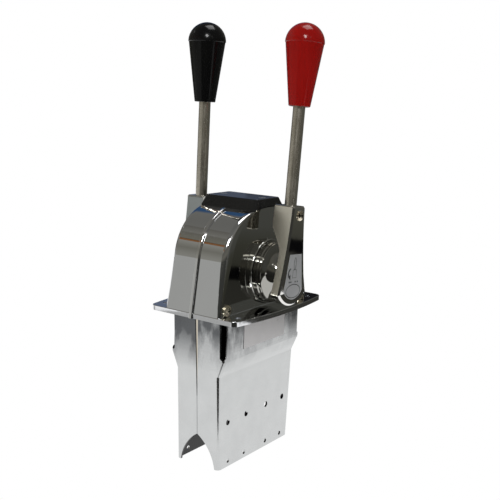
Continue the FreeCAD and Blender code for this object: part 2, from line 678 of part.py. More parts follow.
def rounded_box(half_width, half_length, corner):
    """A rectangle with rounded corners, seen from above."""
    path = Path(-half_width + corner, -half_length).line(half_width - corner, -half_length)
    path.arc((half_width, -half_length + corner), corner, 1).line(half_width, half_length - corner)
    path.arc((half_width - corner, half_length), corner, 1).line(-half_width + corner, half_length)
    path.arc((-half_width, half_length - corner), corner, 1).line(-half_width, -half_length + corner)
    return path.close_round(corner, 1)


def top_cap():
    """Flared plastic cap that follows the crown."""
    piece = Piece("top_cap")
    outer = [(rounded_box(d.cap_base_half_width, d.cap_base_half_length, d.cap_corner), (0, 0, d.cap_base)),
             (rounded_box(d.cap_top_half_width, d.cap_top_half_length, d.cap_corner), (0, 0, d.cap_top))]
    piece.loft("cover", "AdditiveLoft", "XY", outer)
    inside = []
    for half_width, half_length, level in (
            (d.cap_base_half_width, d.cap_base_half_length, d.cap_base - 1),
            (d.cap_top_half_width, d.cap_top_half_length, d.cap_top - d.cap_wall)):
        inside.append((rounded_box(half_width - d.cap_wall, half_length - d.cap_wall, d.cap_corner - d.cap_wall),
                       (0, 0, level)))
    piece.loft("hollow", "SubtractiveLoft", "XY", inside)
    piece.soften("top_edge", "Fillet", d.cap_edge, lambda edge: lies_at(edge, 2, d.cap_top))
    posts = [Round((sign * d.cap_screw_across, 0), d.cap_post_radius) for sign in (-1, 1)]
    piece.pad("posts", "XY", posts, d.cap_top - d.cap_wall / 2 - d.cap_base, at=(0, 0, d.cap_base))
    piece.pocket("crown_seat", "YZ", [arch_path(inset=-d.cap_seat_gap)], d.body_half_width * 3, both=True)
    head_depth = d.cap_head_radius - d.cap_screw_radius
    shank = d.cap_screw_radius + d.fit_gap
    head = d.cap_head_radius + d.fit_gap
    hole = Path(0, 0).line(head, 0).line(shank, -head_depth).line(shank, -d.cap_screw_length).line(
        0, -d.cap_screw_length).close()
    hole_cut = piece.groove("screw_hole", "XZ", hole, "V", at=(d.cap_screw_across, 0, d.cap_top))
    piece.mirror("screw_holes", [hole_cut], "YZ")
    return piece


def cap_screws():
    """Two countersunk screws through the cap into the crown."""
    piece = Piece("cap_screws")
    head_depth = d.cap_head_radius - d.cap_screw_radius
    screw = Path(0, 0).line(d.cap_head_radius, 0).line(d.cap_screw_radius, -head_depth).line(
        d.cap_screw_radius, -d.cap_screw_length).line(0, -d.cap_screw_length).close()
    one = piece.turn("screw", "XZ", screw, "V", at=(d.cap_screw_across, 0, d.cap_top))
    piece.mirror("pair", [one], "YZ")
    return piece


def pan_head(length, shank, head_radius, head_height):
    """Half section of a domed screw along +X, its head's underside at 0."""
    crown = head_height * 0.45
    rise = head_height - crown
    radius = (head_radius * head_radius + rise * rise) / (rise * 2)
    path = Path(-length, 0).line(-length, shank).line(0, shank).line(0, head_radius)
    path.line(crown, head_radius).arc((head_height, ZERO), radius, -1)
    return path.close()


def side_screws():
    """Four domed screws that hold the halves to the centre plate."""
    piece = Piece("side_screws")
    screw = pan_head(d.side_screw_length, d.side_screw_radius, d.side_head_radius, d.side_head_height)
    pair = []
    for name, sign in (("front", -1), ("rear", 1)):
        place = (d.body_half_width, d.side_screw_along * sign, d.side_screw_height)
        pair.append(piece.turn(name, "XZ", screw, "H", at=place))
    piece.mirror("all_four", pair, "YZ")
    return piece


def frame_screws():
    """Four domed screws that pull the frame's tabs up to the housing's lugs."""
    piece = Piece("frame_screws")
    half = pan_head(d.frame_screw_length, d.frame_screw_radius, d.frame_head_radius, d.frame_head_height)
    upright = Path(0, 0)
    upright.points = [(point[1], -point[0]) for point in half.points]
    upright.edges = [edge and (edge[0], edge[1]) for edge in half.edges]
    pair = []
    for name, sign in (("front", -1), ("rear", 1)):
        place = (d.lug_across, d.lug_along * sign, d.rebate_depth - d.tab_thickness)
        pair.append(piece.turn(name, "XZ", upright, "V", at=place))
    piece.mirror("all_four", pair, "YZ")
    return piece


def frame_side(inset, low, high):
    """The frame's tapering outline seen from the side, between two levels."""
    slope = (d.frame_top_half - d.frame_bottom_half) / d.frame_depth
    bottom = d.frame_top_half + slope * low - inset
    top = d.frame_top_half + slope * high - inset
    return Path(-bottom, low).line(bottom, low).line(top, high).line(-top, high).close()


def step_shift(inset):
    """How far the step's corners move up on a parallel face inside the sheet."""
    rise = d.joggle_start - d.joggle_end
    return inset * (root(rise * rise + d.joggle * d.joggle) - rise) / d.joggle


def frame_half(label, side):
    """One folded sheet channel: tapering ends, stepped side plate, relief slots, tabs and holes."""
    piece = Piece(label)
    plate = d.frame_half_width
    stepped = plate + d.joggle
    foot = -d.frame_depth
    past = d.sheet * 2
    slope = (d.frame_top_half - d.frame_bottom_half) / d.frame_depth
    piece.pad("channel", "YZ", [frame_side(ZERO, foot, d.rebate_depth)], stepped - d.seam_half,
              at=(d.seam_half * side, 0, 0), side=side)
    outside = Path(plate, foot - past).line(stepped + past, foot - past).line(stepped + past, -d.joggle_end)
    outside.line(stepped, -d.joggle_end).line(plate, -d.joggle_start)
    piece.pocket("step", "XZ", [outside.close().sided(side)], d.frame_top_half * 3, both=True)
    piece.soften("bends", "Fillet", d.bend_radius,
                 lambda edge: min(abs(value) for value in spans(edge, 0)) > plate.number - 0.1
                 and spans(edge, 2)[1] - spans(edge, 2)[0] > 10)
    piece.pocket("inside", "YZ", [frame_side(d.sheet, foot - past, past)], plate - d.sheet,
                 at=(0, 0, 0), side=side)
    inner = plate - d.sheet
    shift = step_shift(d.sheet)
    hollow = Path(inner - past, -d.joggle_start + shift).line(inner, -d.joggle_start + shift)
    hollow.line(inner + d.joggle, -d.joggle_end + shift).line(inner + d.joggle, past).line(inner - past, past)
    hollow_half = d.frame_top_half - slope * d.joggle_start - d.sheet
    piece.pocket("step_inside", "XZ", [hollow.close().sided(side)], hollow_half * 2, both=True)
    slot = (stepped - d.front_edge) / 2
    slot_level = -d.relief_depth + slot
    relief = Path(d.front_edge, past).line(d.front_edge, slot_level)
    relief.arc((d.front_edge + slot, -d.relief_depth), slot, 1).arc((stepped, slot_level), slot, 1)
    relief.line(stepped + past, slot_level).line(stepped + past, past).close()
    for name, sign in (("front_reliefs", -1), ("rear_reliefs", 1)):
        piece.pocket(name, "XZ", [relief.sided(side)], d.frame_top_half,
                     at=(0, d.joggle_half_length * sign, 0), side=-sign)
    seam = Path(0, -d.tongue_depth).line(d.tongue_tip + d.fit_gap, -d.tongue_depth)
    seam.line(d.tongue_half + d.fit_gap, 0).line(d.plate_half + d.fit_gap, 0)
    seam.line(d.plate_half + d.fit_gap, past).line(0, past)
    piece.pocket("seam_taper", "XZ", [seam.close().sided(side)], d.frame_top_half * 3, both=True)
    arch = Path(0, foot - past).line(d.arch_cut_half, foot - past).line(d.arch_cut_half, foot)
    arch.arc((ZERO, foot + d.arch_cut_height), d.arch_cut_radius, 1)
    piece.pocket("arches", "XZ", [arch.close().sided(side)], d.frame_top_half * 3, both=True)
    big = [Round((sign * along, -d.big_hole_drop), d.big_hole_radius)
           for sign in (-1, 1) for along in (d.big_hole_inner, d.big_hole_outer)]
    small = [Round((sign * along, -d.small_hole_drop), d.small_hole_radius)
             for sign in (-1, 1) for along in (d.small_hole_inner, d.small_hole_outer)]
    piece.pocket("clamp_holes", "YZ", big + small, d.sheet * 3, at=((inner - d.sheet) * side, 0, 0), side=side)
    tabs = []
    for sign in (-1, 1):
        low = (d.lug_across - d.lug_half_width, d.lug_along * sign - d.lug_half_length)
        high = (stepped - d.sheet / 2, d.lug_along * sign + d.lug_half_length)
        tabs.append(box_path(low, high).sided(side))
    piece.pad("tabs", "XY", tabs, d.tab_thickness, at=(0, 0, d.rebate_depth), side=-1)
    tab_holes = [Round((d.lug_across * side, sign * d.lug_along), d.frame_screw_radius + d.fit_gap)
                 for sign in (-1, 1)]
    piece.pocket("tab_holes", "XY", tab_holes, d.tab_thickness, at=(0, 0, d.rebate_depth), side=-1)
    return piece


def foil_plate():
    """Bare foil on the throttle side of the frame, under the flange."""
    piece = Piece("frame_foil")
    outline = box_path((-d.foil_half_length, -d.foil_bottom), (d.foil_half_length, -d.foil_top))
    piece.pad("foil", "YZ", [outline], d.foil_thickness, at=(d.frame_half_width + d.joggle, 0, 0))
    return piece


def shaft_bush(label, side):
    """Flanged bush of one lever shaft."""
    piece = Piece(label)
    bore = d.shaft_radius + d.running_gap
    outside = d.shaft_radius + d.bush_wall
    start = d.bush_inner_end
    path = Path(start - d.bush_flange, bore).line(start - d.bush_flange, d.bush_flange_radius)
    path.line(start, d.bush_flange_radius).line(start, outside).line(d.boss_face, outside)
    path.line(d.boss_face, bore)
    piece.turn("bush", "XZ", path.close().sided(side), "H", at=(0, 0, d.shaft_height))
    return piece


def shaft_seal(label, side):
    """Ring in the boss that keeps spray out of the bush."""
    piece = Piece(label)
    floor = d.boss_face - d.seal_depth
    lip = d.boss_face + d.axial_gap - d.seal_gap
    inner = d.seal_inner + d.fit_gap
    outer = d.seal_outer - d.fit_gap
    piece.turn("ring", "XZ", box_path((floor, inner), (lip, outer)).sided(side), "H", at=(0, 0, d.shaft_height))
    return piece


def centre_bush():
    """Sleeve in the centre plate that carries the inner ends of both shafts."""
    piece = Piece("centre_bush")
    half = d.centre_bush_half
    outline = box_path((-half, d.journal_radius + d.running_gap), (half, d.centre_bush_radius))
    piece.turn("sleeve", "XZ", outline, "H", at=(0, 0, d.shaft_height))
    return piece


def adjuster(label, side):
    """Socket screw in a pillar that sets the force on ball or shoe."""
    piece = Piece(label)
    across = (d.crank_inner + d.crank_outer) / 2 * side
    radius = d.pillar_bore - d.thread_gap
    piece.pad("screw", "XY", [Round((0, 0), radius)], d.adjuster_length, at=(across, 0, d.adjuster_top), side=-1)
    piece.pocket("socket", "XY", [Round((0, 0), d.socket_radius)], d.adjuster_length / 3,
                 at=(across, 0, d.adjuster_top), side=-1)
    return piece


def track_radius():
    """Distance from the shaft's axis to the detent ball's centre."""
    return d.crank_collar_radius - d.ball_track + d.ball_radius + d.contact_gap


def detent_ball():
    piece = Piece("detent_ball")
    across = -(d.crank_inner + d.crank_outer) / 2
    outline = Path(0, -d.ball_radius).arc((d.ball_radius, ZERO), d.ball_radius, 1)
    outline.arc((ZERO, d.ball_radius), d.ball_radius, 1)
    piece.turn("ball", "XZ", outline.close(), "V", at=(across, 0, d.shaft_height + track_radius()))
    return piece


def detent_spring():
    """Coil spring between the detent ball and its adjusting screw."""
    piece = Piece("detent_spring")
    across = -(d.crank_inner + d.crank_outer) / 2
    ball_top = d.shaft_height + track_radius() + d.ball_radius
    seat = root(d.ball_radius * d.ball_radius - d.spring_radius * d.spring_radius)
    foot = ball_top - d.ball_radius + seat + d.spring_wire * 2
    top = d.adjuster_top - d.adjuster_length - d.spring_wire - d.fit_gap
    wire = box_path((d.spring_radius - d.spring_wire, -d.spring_wire),
                    (d.spring_radius + d.spring_wire, d.spring_wire))
    sketch = piece.sketch("wire", "XZ", [wire], (across, 0, foot))
    helix = piece.feature("AdditiveHelix", "coil")
    helix.Profile = sketch
    helix.ReferenceAxis = (sketch, ["V_Axis"])
    helix.Mode = "height-turns-angle"
    helix.setExpression("Height", (top - foot).formula)
    helix.setExpression("Turns", d.spring_turns.formula)
    piece.done(helix)
    return piece


def friction_shoe():
    """Shoe pressed on the throttle's collar, hollowed to fit it."""
    piece = Piece("friction_shoe")
    across = (d.crank_inner + d.crank_outer) / 2
    axis_height = d.shaft_height
    piece.pad("shoe", "XY", [Round((0, 0), d.shoe_radius)], d.shoe_height,
              at=(across, 0, axis_height + d.crank_collar_radius))
    piece.pocket("hollow", "YZ", [Round((0, axis_height), d.crank_collar_radius + d.contact_gap)],
                 d.crank_outer * 4, both=True)
    return piece


def friction_springs():
    """Dished washers between the friction shoe and its adjusting screw."""
    piece = Piece("friction_springs")
    across = (d.crank_inner + d.crank_outer) / 2
    foot = d.shaft_height + d.crank_collar_radius + d.shoe_height
    space = d.adjuster_top - d.adjuster_length - foot
    inner = d.shoe_radius * 0.45
    outer = d.shoe_radius * 0.96
    solid = Path(inner * 0.5, 0).line(outer, 0)
    for number in range(1, 6):
        edge = outer if number % 2 == 0 else inner + (outer - inner) * 0.4
        solid.line(edge, space * number / 6)
    solid.line(outer, space).line(inner * 0.5, space)
    piece.turn("washers", "XZ", solid.close(), "V", at=(across, 0, foot))
    return piece


def lever_shaft(label, side, lean):
    """Stepped shaft: journal, bearing length and square end."""
    piece = Piece(label)
    shoulder = d.crank_inner
    seat = d.rod_across + d.arm_top_half - d.arm_plate
    start = d.journal_start
    path = Path(start, 0).line(start, d.journal_radius).line(shoulder, d.journal_radius)
    path.line(shoulder, d.shaft_radius).line(seat, d.shaft_radius).line(seat, 0)
    piece.turn("shaft", "XZ", path.close().sided(side), "H")
    half = d.tang_half
    piece.pad("tang", "YZ", [box_path((-half, -half), (half, half))], d.tang_length + 1,
              at=((seat - 1) * side, 0, 0), side=side)
    piece.pocket("screw_hole", "YZ", [Round((0, 0), d.hub_screw_radius + d.fit_gap)],
                 d.hub_screw_depth, at=((seat + d.tang_length) * side, 0, 0), side=-side)
    middle = (d.crank_inner + d.crank_outer) / 2 * side
    piece.pocket("pin_hole", "XZ", [Round((middle, 0), d.crank_pin_radius + d.fit_gap)],
                 d.shaft_radius * 4, both=True)
    piece.stand(d.shaft_height, lean)
    return piece


def lever_hub(label, side, lean):
    """Turning hub: stepped rim, recessed face and hollow flare up to the arm."""
    piece = Piece(label)
    back = d.boss_face + d.axial_gap
    seat = d.rod_across + d.arm_top_half - d.arm_plate
    bore = d.shaft_radius + d.fit_gap
    face = d.rim_face - d.rim_recess
    lip = d.rim_radius - d.rim_width
    path = Path(back, bore).line(back, d.hub_radius).line(d.hub_step, d.hub_radius)
    path.line(d.hub_step + 0.8, d.rim_radius).line(d.rim_face - 0.6, d.rim_radius)
    path.line(d.rim_face, d.rim_radius - 0.6).line(d.rim_face, lip + 0.4).line(face, lip)
    path.arc((seat, d.hub_cone_radius), d.hub_flare_radius, 1)
    path.line(seat, bore)
    piece.turn("hub", "XZ", path.close().sided(side), "H")
    piece.stand(d.shaft_height, lean)
    return piece


def arm_path():
    """The arm's outline seen from the side: square head, hollow sides, round lower end."""
    foot_drop = root(d.arm_foot_radius * d.arm_foot_radius - d.arm_foot_width * d.arm_foot_width)
    path = Path(-d.arm_head_width, d.arm_top)
    path.arc((-d.arm_foot_width, -foot_drop), d.arm_flare_radius, -1)
    path.arc((d.arm_foot_width, -foot_drop), d.arm_foot_radius, 1)
    path.arc((d.arm_head_width, d.arm_top), d.arm_flare_radius, -1)
    return path.close()


def lever_arm(label, side, lean):
    """Cast arm: thick head with the rod's socket, slope behind, bevelled plate below."""
    piece = Piece(label)
    outer = d.rod_across + d.arm_top_half
    head_inner = d.rod_across - d.arm_top_half
    plate_inner = outer - d.arm_plate
    piece.pad("blank", "YZ", [arm_path()], d.arm_top_half * 2, at=(head_inner * side, 0, 0), side=side)
    foot = -d.arm_foot_radius * 1.2
    behind = Path(head_inner - 1, d.arm_head_bottom).line(head_inner, d.arm_head_bottom)
    behind.line(plate_inner, d.arm_neck_bottom).line(plate_inner, foot).line(head_inner - 1, foot)
    piece.pocket("back_slope", "XZ", [behind.close().sided(side)], d.arm_foot_width * 4, both=True)
    piece.soften("back_blend", "Fillet", d.arm_blend,
                 lambda edge: (lies_at(edge, 0, head_inner * side) and lies_at(edge, 2, d.arm_head_bottom))
                 or (lies_at(edge, 0, plate_inner * side) and lies_at(edge, 2, d.arm_neck_bottom)))
    foot_drop = math.sqrt(d.arm_foot_radius.number ** 2 - d.arm_foot_width.number ** 2)
    piece.soften("foot_corners", "Fillet", d.arm_corner,
                 lambda edge: near(abs(spans(edge, 1)[0]), d.arm_foot_width)
                 and near(abs(spans(edge, 1)[1]), d.arm_foot_width)
                 and lies_at(edge, 2, -foot_drop))
    piece.soften("head_corners", "Fillet", d.arm_head_corner,
                 lambda edge: lies_at(edge, 2, d.arm_top) and spans(edge, 0)[1] - spans(edge, 0)[0] > 5)
    piece.soften("bevel", "Chamfer", d.arm_bevel, lambda edge: lies_at(edge, 0, outer * side))
    piece.pocket("rod_socket", "XY", [Round((d.rod_across * side, ZERO), d.rod_radius + d.fit_gap)],
                 d.rod_socket, at=(0, 0, d.arm_top), side=-1)
    piece.pocket("clamp_hole", "YZ", [Round((ZERO, d.rod_screw_height), d.rod_screw_radius + d.fit_gap)],
                 d.arm_top_half, at=(outer * side, 0, 0), side=-side)
    half = d.tang_half + d.fit_gap
    piece.pocket("tang_socket", "YZ", [box_path((-half, -half), (half, half))], d.tang_length + d.fit_gap,
                 at=(plate_inner * side, 0, 0), side=side)
    shank = d.hub_screw_radius + d.fit_gap
    head = d.hub_head_radius + d.fit_gap
    sink = Path(outer, 0).line(outer, head).line(outer - d.hub_head_radius + d.hub_screw_radius, shank)
    sink.line(plate_inner, shank).line(plate_inner, 0)
    piece.groove("screw_seat", "XZ", sink.close().sided(side), "H")
    piece.stand(d.shaft_height, lean)
    return piece


def hub_screw(label, side, lean):
    """Countersunk screw that draws arm and hub onto the shaft, under the label."""
    piece = Piece(label)
    outer = d.rod_across + d.arm_top_half - d.fit_gap
    tip = outer - d.arm_plate + d.tang_length - d.hub_screw_depth + 1
    path = Path(outer, 0).line(outer, d.hub_head_radius)
    path.line(outer - d.hub_head_radius + d.hub_screw_radius, d.hub_screw_radius)
    path.line(tip, d.hub_screw_radius).line(tip, 0)
    piece.turn("screw", "XZ", path.close().sided(side), "H")
    piece.stand(d.shaft_height, lean)
    return piece


def rod_screw(label, side, lean):
    """Domed screw that clamps the rod in the arm's head."""
    piece = Piece(label)
    length = d.arm_top_half - d.rod_radius - d.fit_gap
    screw = pan_head(length, d.rod_screw_radius, d.rod_head_radius, d.rod_head_height)
    outer = d.rod_across + d.arm_top_half
    piece.turn("screw", "XZ", screw.sided(side), "H", at=(outer * side, 0, d.rod_screw_height))
    piece.stand(d.shaft_height, lean)
    return piece


def lever_rod(label, side, lean):
    """Stainless rod from the arm's socket into the knob."""
    piece = Piece(label)
    foot = d.arm_top - d.rod_socket
    tip = d.knob_base + d.knob_bore_depth
    piece.pad("rod", "XY", [Round((0, 0), d.rod_radius)], tip - foot, at=(d.rod_across * side, 0, foot))
    piece.soften("ends", "Chamfer", d.rod_radius / 8, lambda edge: lies_at(edge, 2, foot) or lies_at(edge, 2, tip))
    piece.stand(d.shaft_height, lean)
    return piece


def lever_knob(label, side, lean):
    """Moulded knob: round top, small ledge, straight taper to its base."""
    piece = Piece(label)
    top = d.knob_length
    equator = top - d.knob_radius
    bore = d.rod_radius + d.fit_gap
    body_radius = d.knob_radius - d.knob_ledge
    path = Path(bore, 0).line(d.knob_base_radius - d.knob_edge, 0)
    path.arc((d.knob_base_radius, d.knob_edge), d.knob_edge, 1).line(body_radius, equator - d.knob_ledge)
    path.line(d.knob_radius, equator).arc((ZERO, top), d.knob_radius, 1)
    path.line(0, d.knob_bore_depth + d.fit_gap).line(bore, d.knob_bore_depth + d.fit_gap)
    piece.turn("knob", "XZ", path.close(), "V", at=(d.rod_across * side, 0, d.knob_base))
    piece.stand(d.shaft_height, lean)
    return piece


def lever_label(label, side, lean):
    """Thin label plate on the arm's outer face."""
    piece = Piece(label)
    outer = d.rod_across + d.arm_top_half
    path = Path(d.label_top_half, d.label_top).line(-d.label_top_half, d.label_top)
    path.line(-d.label_side_half, -d.label_side)
    path.arc((d.label_side_half, -d.label_side), d.label_radius, 1)
    piece.pad("plate", "YZ", [path.close()], d.foil_thickness, at=(outer * side, 0, 0), side=side)
    piece.stand(d.shaft_height, lean)
    return piece


def lever_crank(label, side, lean, notches):
    """Crank on the shaft inside the housing; the shift's collar has a ball track and notches."""
    piece = Piece(label)
    middle = (d.crank_inner + d.crank_outer) / 2
    link_start = (middle - d.crank_link_half) * side
    drop = d.crank_length
    width = d.crank_collar_radius * 0.8
    link = Path(-d.crank_eye_radius, -drop).line(d.crank_eye_radius, -drop).line(width, 0).line(-width, 0).close()
    piece.pad("link", "YZ", [link], d.crank_link_half * 2, at=(link_start, 0, 0), side=side)
    piece.pad("eye", "YZ", [Round((ZERO, -drop), d.crank_eye_radius)], d.crank_link_half * 2,
              at=(link_start, 0, 0), side=side)
    piece.pad("collar", "YZ", [Round((0, 0), d.crank_collar_radius)], d.crank_outer - d.crank_inner,
              at=(d.crank_inner * side, 0, 0), side=side)
    piece.pocket("bore", "YZ", [Round((0, 0), d.shaft_radius + d.fit_gap)], d.crank_outer * 2,
                 at=(0, 0, 0), side=side)
    piece.pocket("eye_hole", "YZ", [Round((ZERO, -drop), d.swivel_pin_radius + d.running_gap)],
                 d.crank_outer * 2, at=(0, 0, 0), side=side)
    if notches:
        ring = d.ball_radius + d.contact_gap
        centre = track_radius()
        track = Path(middle - ring, centre).arc((middle, centre - ring), ring, 1)
        track.arc((middle + ring, centre), ring, 1)
        piece.groove("ball_track", "XZ", track.close().sided(side), "H", angle=130)
        for number, angle in enumerate((-d.shift_throw, ZERO, d.shift_throw)):
            turned = angle - lean
            deep = centre - d.notch_depth
            notch = Path(0, -ring).arc((ring, ZERO), ring, 1).arc((ZERO, ring), ring, 1)
            piece.groove(f"notch_{number}", "XZ", notch.close(), "V",
                         at=(middle * side, deep * sine(turned), deep * cosine(turned)))
    piece.pocket("pin_hole", "XZ", [Round((middle * side, ZERO), d.crank_pin_radius + d.fit_gap)],
                 d.crank_collar_radius * 4, both=True)
    piece.stand(d.shaft_height, lean)
    return piece


def crank_pin(label, side, lean):
    """Pin through the crank's collar and the shaft."""
    piece = Piece(label)
    middle = (d.crank_inner + d.crank_outer) / 2 * side
    piece.pad("pin", "XZ", [Round((middle, ZERO), d.crank_pin_radius)],
              (d.crank_collar_radius - d.ball_track * 1.4) * 2, both=True)
    piece.stand(d.shaft_height, lean)
    return piece


def cable_swivel(label, side, lean):
    """Swivel in the crank's end: grooved pin and head with the hole for the cable's end rod."""
    piece = Piece(label)
    middle = (d.crank_inner + d.crank_outer) / 2
    inner_face = middle - d.crank_link_half
    outer_face = middle + d.crank_link_half + d.seal_gap
    clip_face = inner_face - d.seal_gap
    groove_end = clip_face - d.clip_thickness - d.fit_gap
    tip = groove_end - 0.8
    head_end = outer_face + d.swivel_head_length
    path = Path(tip, 0).line(tip, d.swivel_pin_radius).line(groove_end, d.swivel_pin_radius)
    path.line(groove_end, d.clip_groove).line(clip_face, d.clip_groove).line(clip_face, d.swivel_pin_radius)
    path.line(outer_face, d.swivel_pin_radius).line(outer_face, d.swivel_head_radius)
    path.line(head_end, d.swivel_head_radius).line(head_end, 0)
    piece.turn("swivel", "XZ", path.close().sided(side), "H", at=(0, 0, -d.crank_length))
    across = (outer_face + d.swivel_head_length / 2) * side
    piece.pocket("rod_hole", "XY", [Round((across, ZERO), d.swivel_bore)], d.swivel_head_radius * 3,
                 at=(0, 0, -d.crank_length), both=True)
    piece.stand(d.shaft_height, lean)
    return piece


def swivel_clip(label, side, lean):
    """Open ring in the groove of the swivel's pin."""
    piece = Piece(label)
    middle = (d.crank_inner + d.crank_outer) / 2
    clip_face = middle - d.crank_link_half - d.seal_gap
    centre = (ZERO, -d.crank_length)
    piece.pad("ring", "YZ", [Round(centre, d.clip_radius), Round(centre, d.clip_groove + d.fit_gap)],
              d.clip_thickness, at=(clip_face * side, 0, 0), side=-side)
    mouth = box_path((-d.clip_mouth, -d.crank_length - d.clip_radius * 1.5), (d.clip_mouth, -d.crank_length))
    piece.pocket("mouth", "YZ", [mouth], d.clip_thickness * 4, at=(clip_face * side, 0, 0), both=True)
    piece.stand(d.shaft_height, lean)
    return piece


def lever(name, side, lean, notches):
    """Everything that turns with one lever."""
    return [
        lever_shaft(name + "_shaft", side, lean),
        lever_hub(name + "_hub", side, lean),
        lever_arm(name + "_arm", side, lean),
        hub_screw(name + "_hub_screw", side, lean),
        rod_screw(name + "_rod_screw", side, lean),
        lever_rod(name + "_rod", side, lean),
        lever_knob(name + "_knob", side, lean),
        lever_label(name + "_label", side, lean),
        lever_crank(name + "_crank", side, lean, notches),
        crank_pin(name + "_crank_pin", side, lean),
        cable_swivel(name + "_cable_swivel", side, lean),
        swivel_clip(name + "_swivel_clip", side, lean),
    ]


pieces = [
    housing_half("housing_left", -1),
    housing_half("housing_right", 1),
    centre_plate(),
    top_cap(),
    cap_screws(),
    side_screws(),
    frame_half("frame_left", -1),
    frame_half("frame_right", 1),
    frame_screws(),
    foil_plate(),
    shaft_bush("shaft_bush_left", -1),
    shaft_bush("shaft_bush_right", 1),
    shaft_seal("shaft_seal_left", -1),
    shaft_seal("shaft_seal_right", 1),
    centre_bush(),
    detent_ball(),
    detent_spring(),
    adjuster("detent_screw", -1),
    friction_shoe(),
    friction_springs(),
    adjuster("friction_screw", 1),
]
pieces += lever("shift", -1, d.shift_lean, True)
pieces += lever("throttle", 1, d.throttle_lean, False)

doc.recompute()
for item in doc.Objects:
    if "Invalid" in item.State or "Error" in item.State:
        raise RuntimeError(f"{item.Label}: {item.State}")
for piece in pieces:
    shape = piece.body.Shape
    if shape.isNull() or not shape.isValid() or not shape.Solids:
        raise RuntimeError(f"{piece.body.Label}: no valid solid")

os.makedirs("parts", exist_ok=True)
for piece in pieces:
    shape = piece.body.Shape
    shape.exportStep(os.path.join("parts", piece.body.Label + ".step"))
    box = shape.BoundBox
    print(f"{piece.body.Label}: {len(shape.Solids)} solids, {shape.Volume:.0f} mm3, "
          f"X {box.XMin:.1f} to {box.XMax:.1f}, Y {box.YMin:.1f} to {box.YMax:.1f}, "
          f"Z {box.ZMin:.1f} to {box.ZMax:.1f}")
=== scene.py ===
import json
import math

import bmesh
import bpy
from mathutils import Matrix, Vector


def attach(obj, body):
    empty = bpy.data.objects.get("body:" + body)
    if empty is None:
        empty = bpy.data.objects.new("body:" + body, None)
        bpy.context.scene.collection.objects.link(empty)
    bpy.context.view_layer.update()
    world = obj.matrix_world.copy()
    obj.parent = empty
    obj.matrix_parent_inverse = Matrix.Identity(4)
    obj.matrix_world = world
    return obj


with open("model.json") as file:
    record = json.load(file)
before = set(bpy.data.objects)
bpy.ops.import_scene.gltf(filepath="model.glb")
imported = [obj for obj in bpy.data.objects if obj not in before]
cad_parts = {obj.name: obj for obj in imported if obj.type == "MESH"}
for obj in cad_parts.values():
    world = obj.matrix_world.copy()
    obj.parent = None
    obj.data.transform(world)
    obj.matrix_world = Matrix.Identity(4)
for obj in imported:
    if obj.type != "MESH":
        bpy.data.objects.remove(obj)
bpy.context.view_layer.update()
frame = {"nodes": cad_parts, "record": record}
nodes = frame["nodes"]
MM = 0.001


# ---------------------------------------------------------------- node helpers

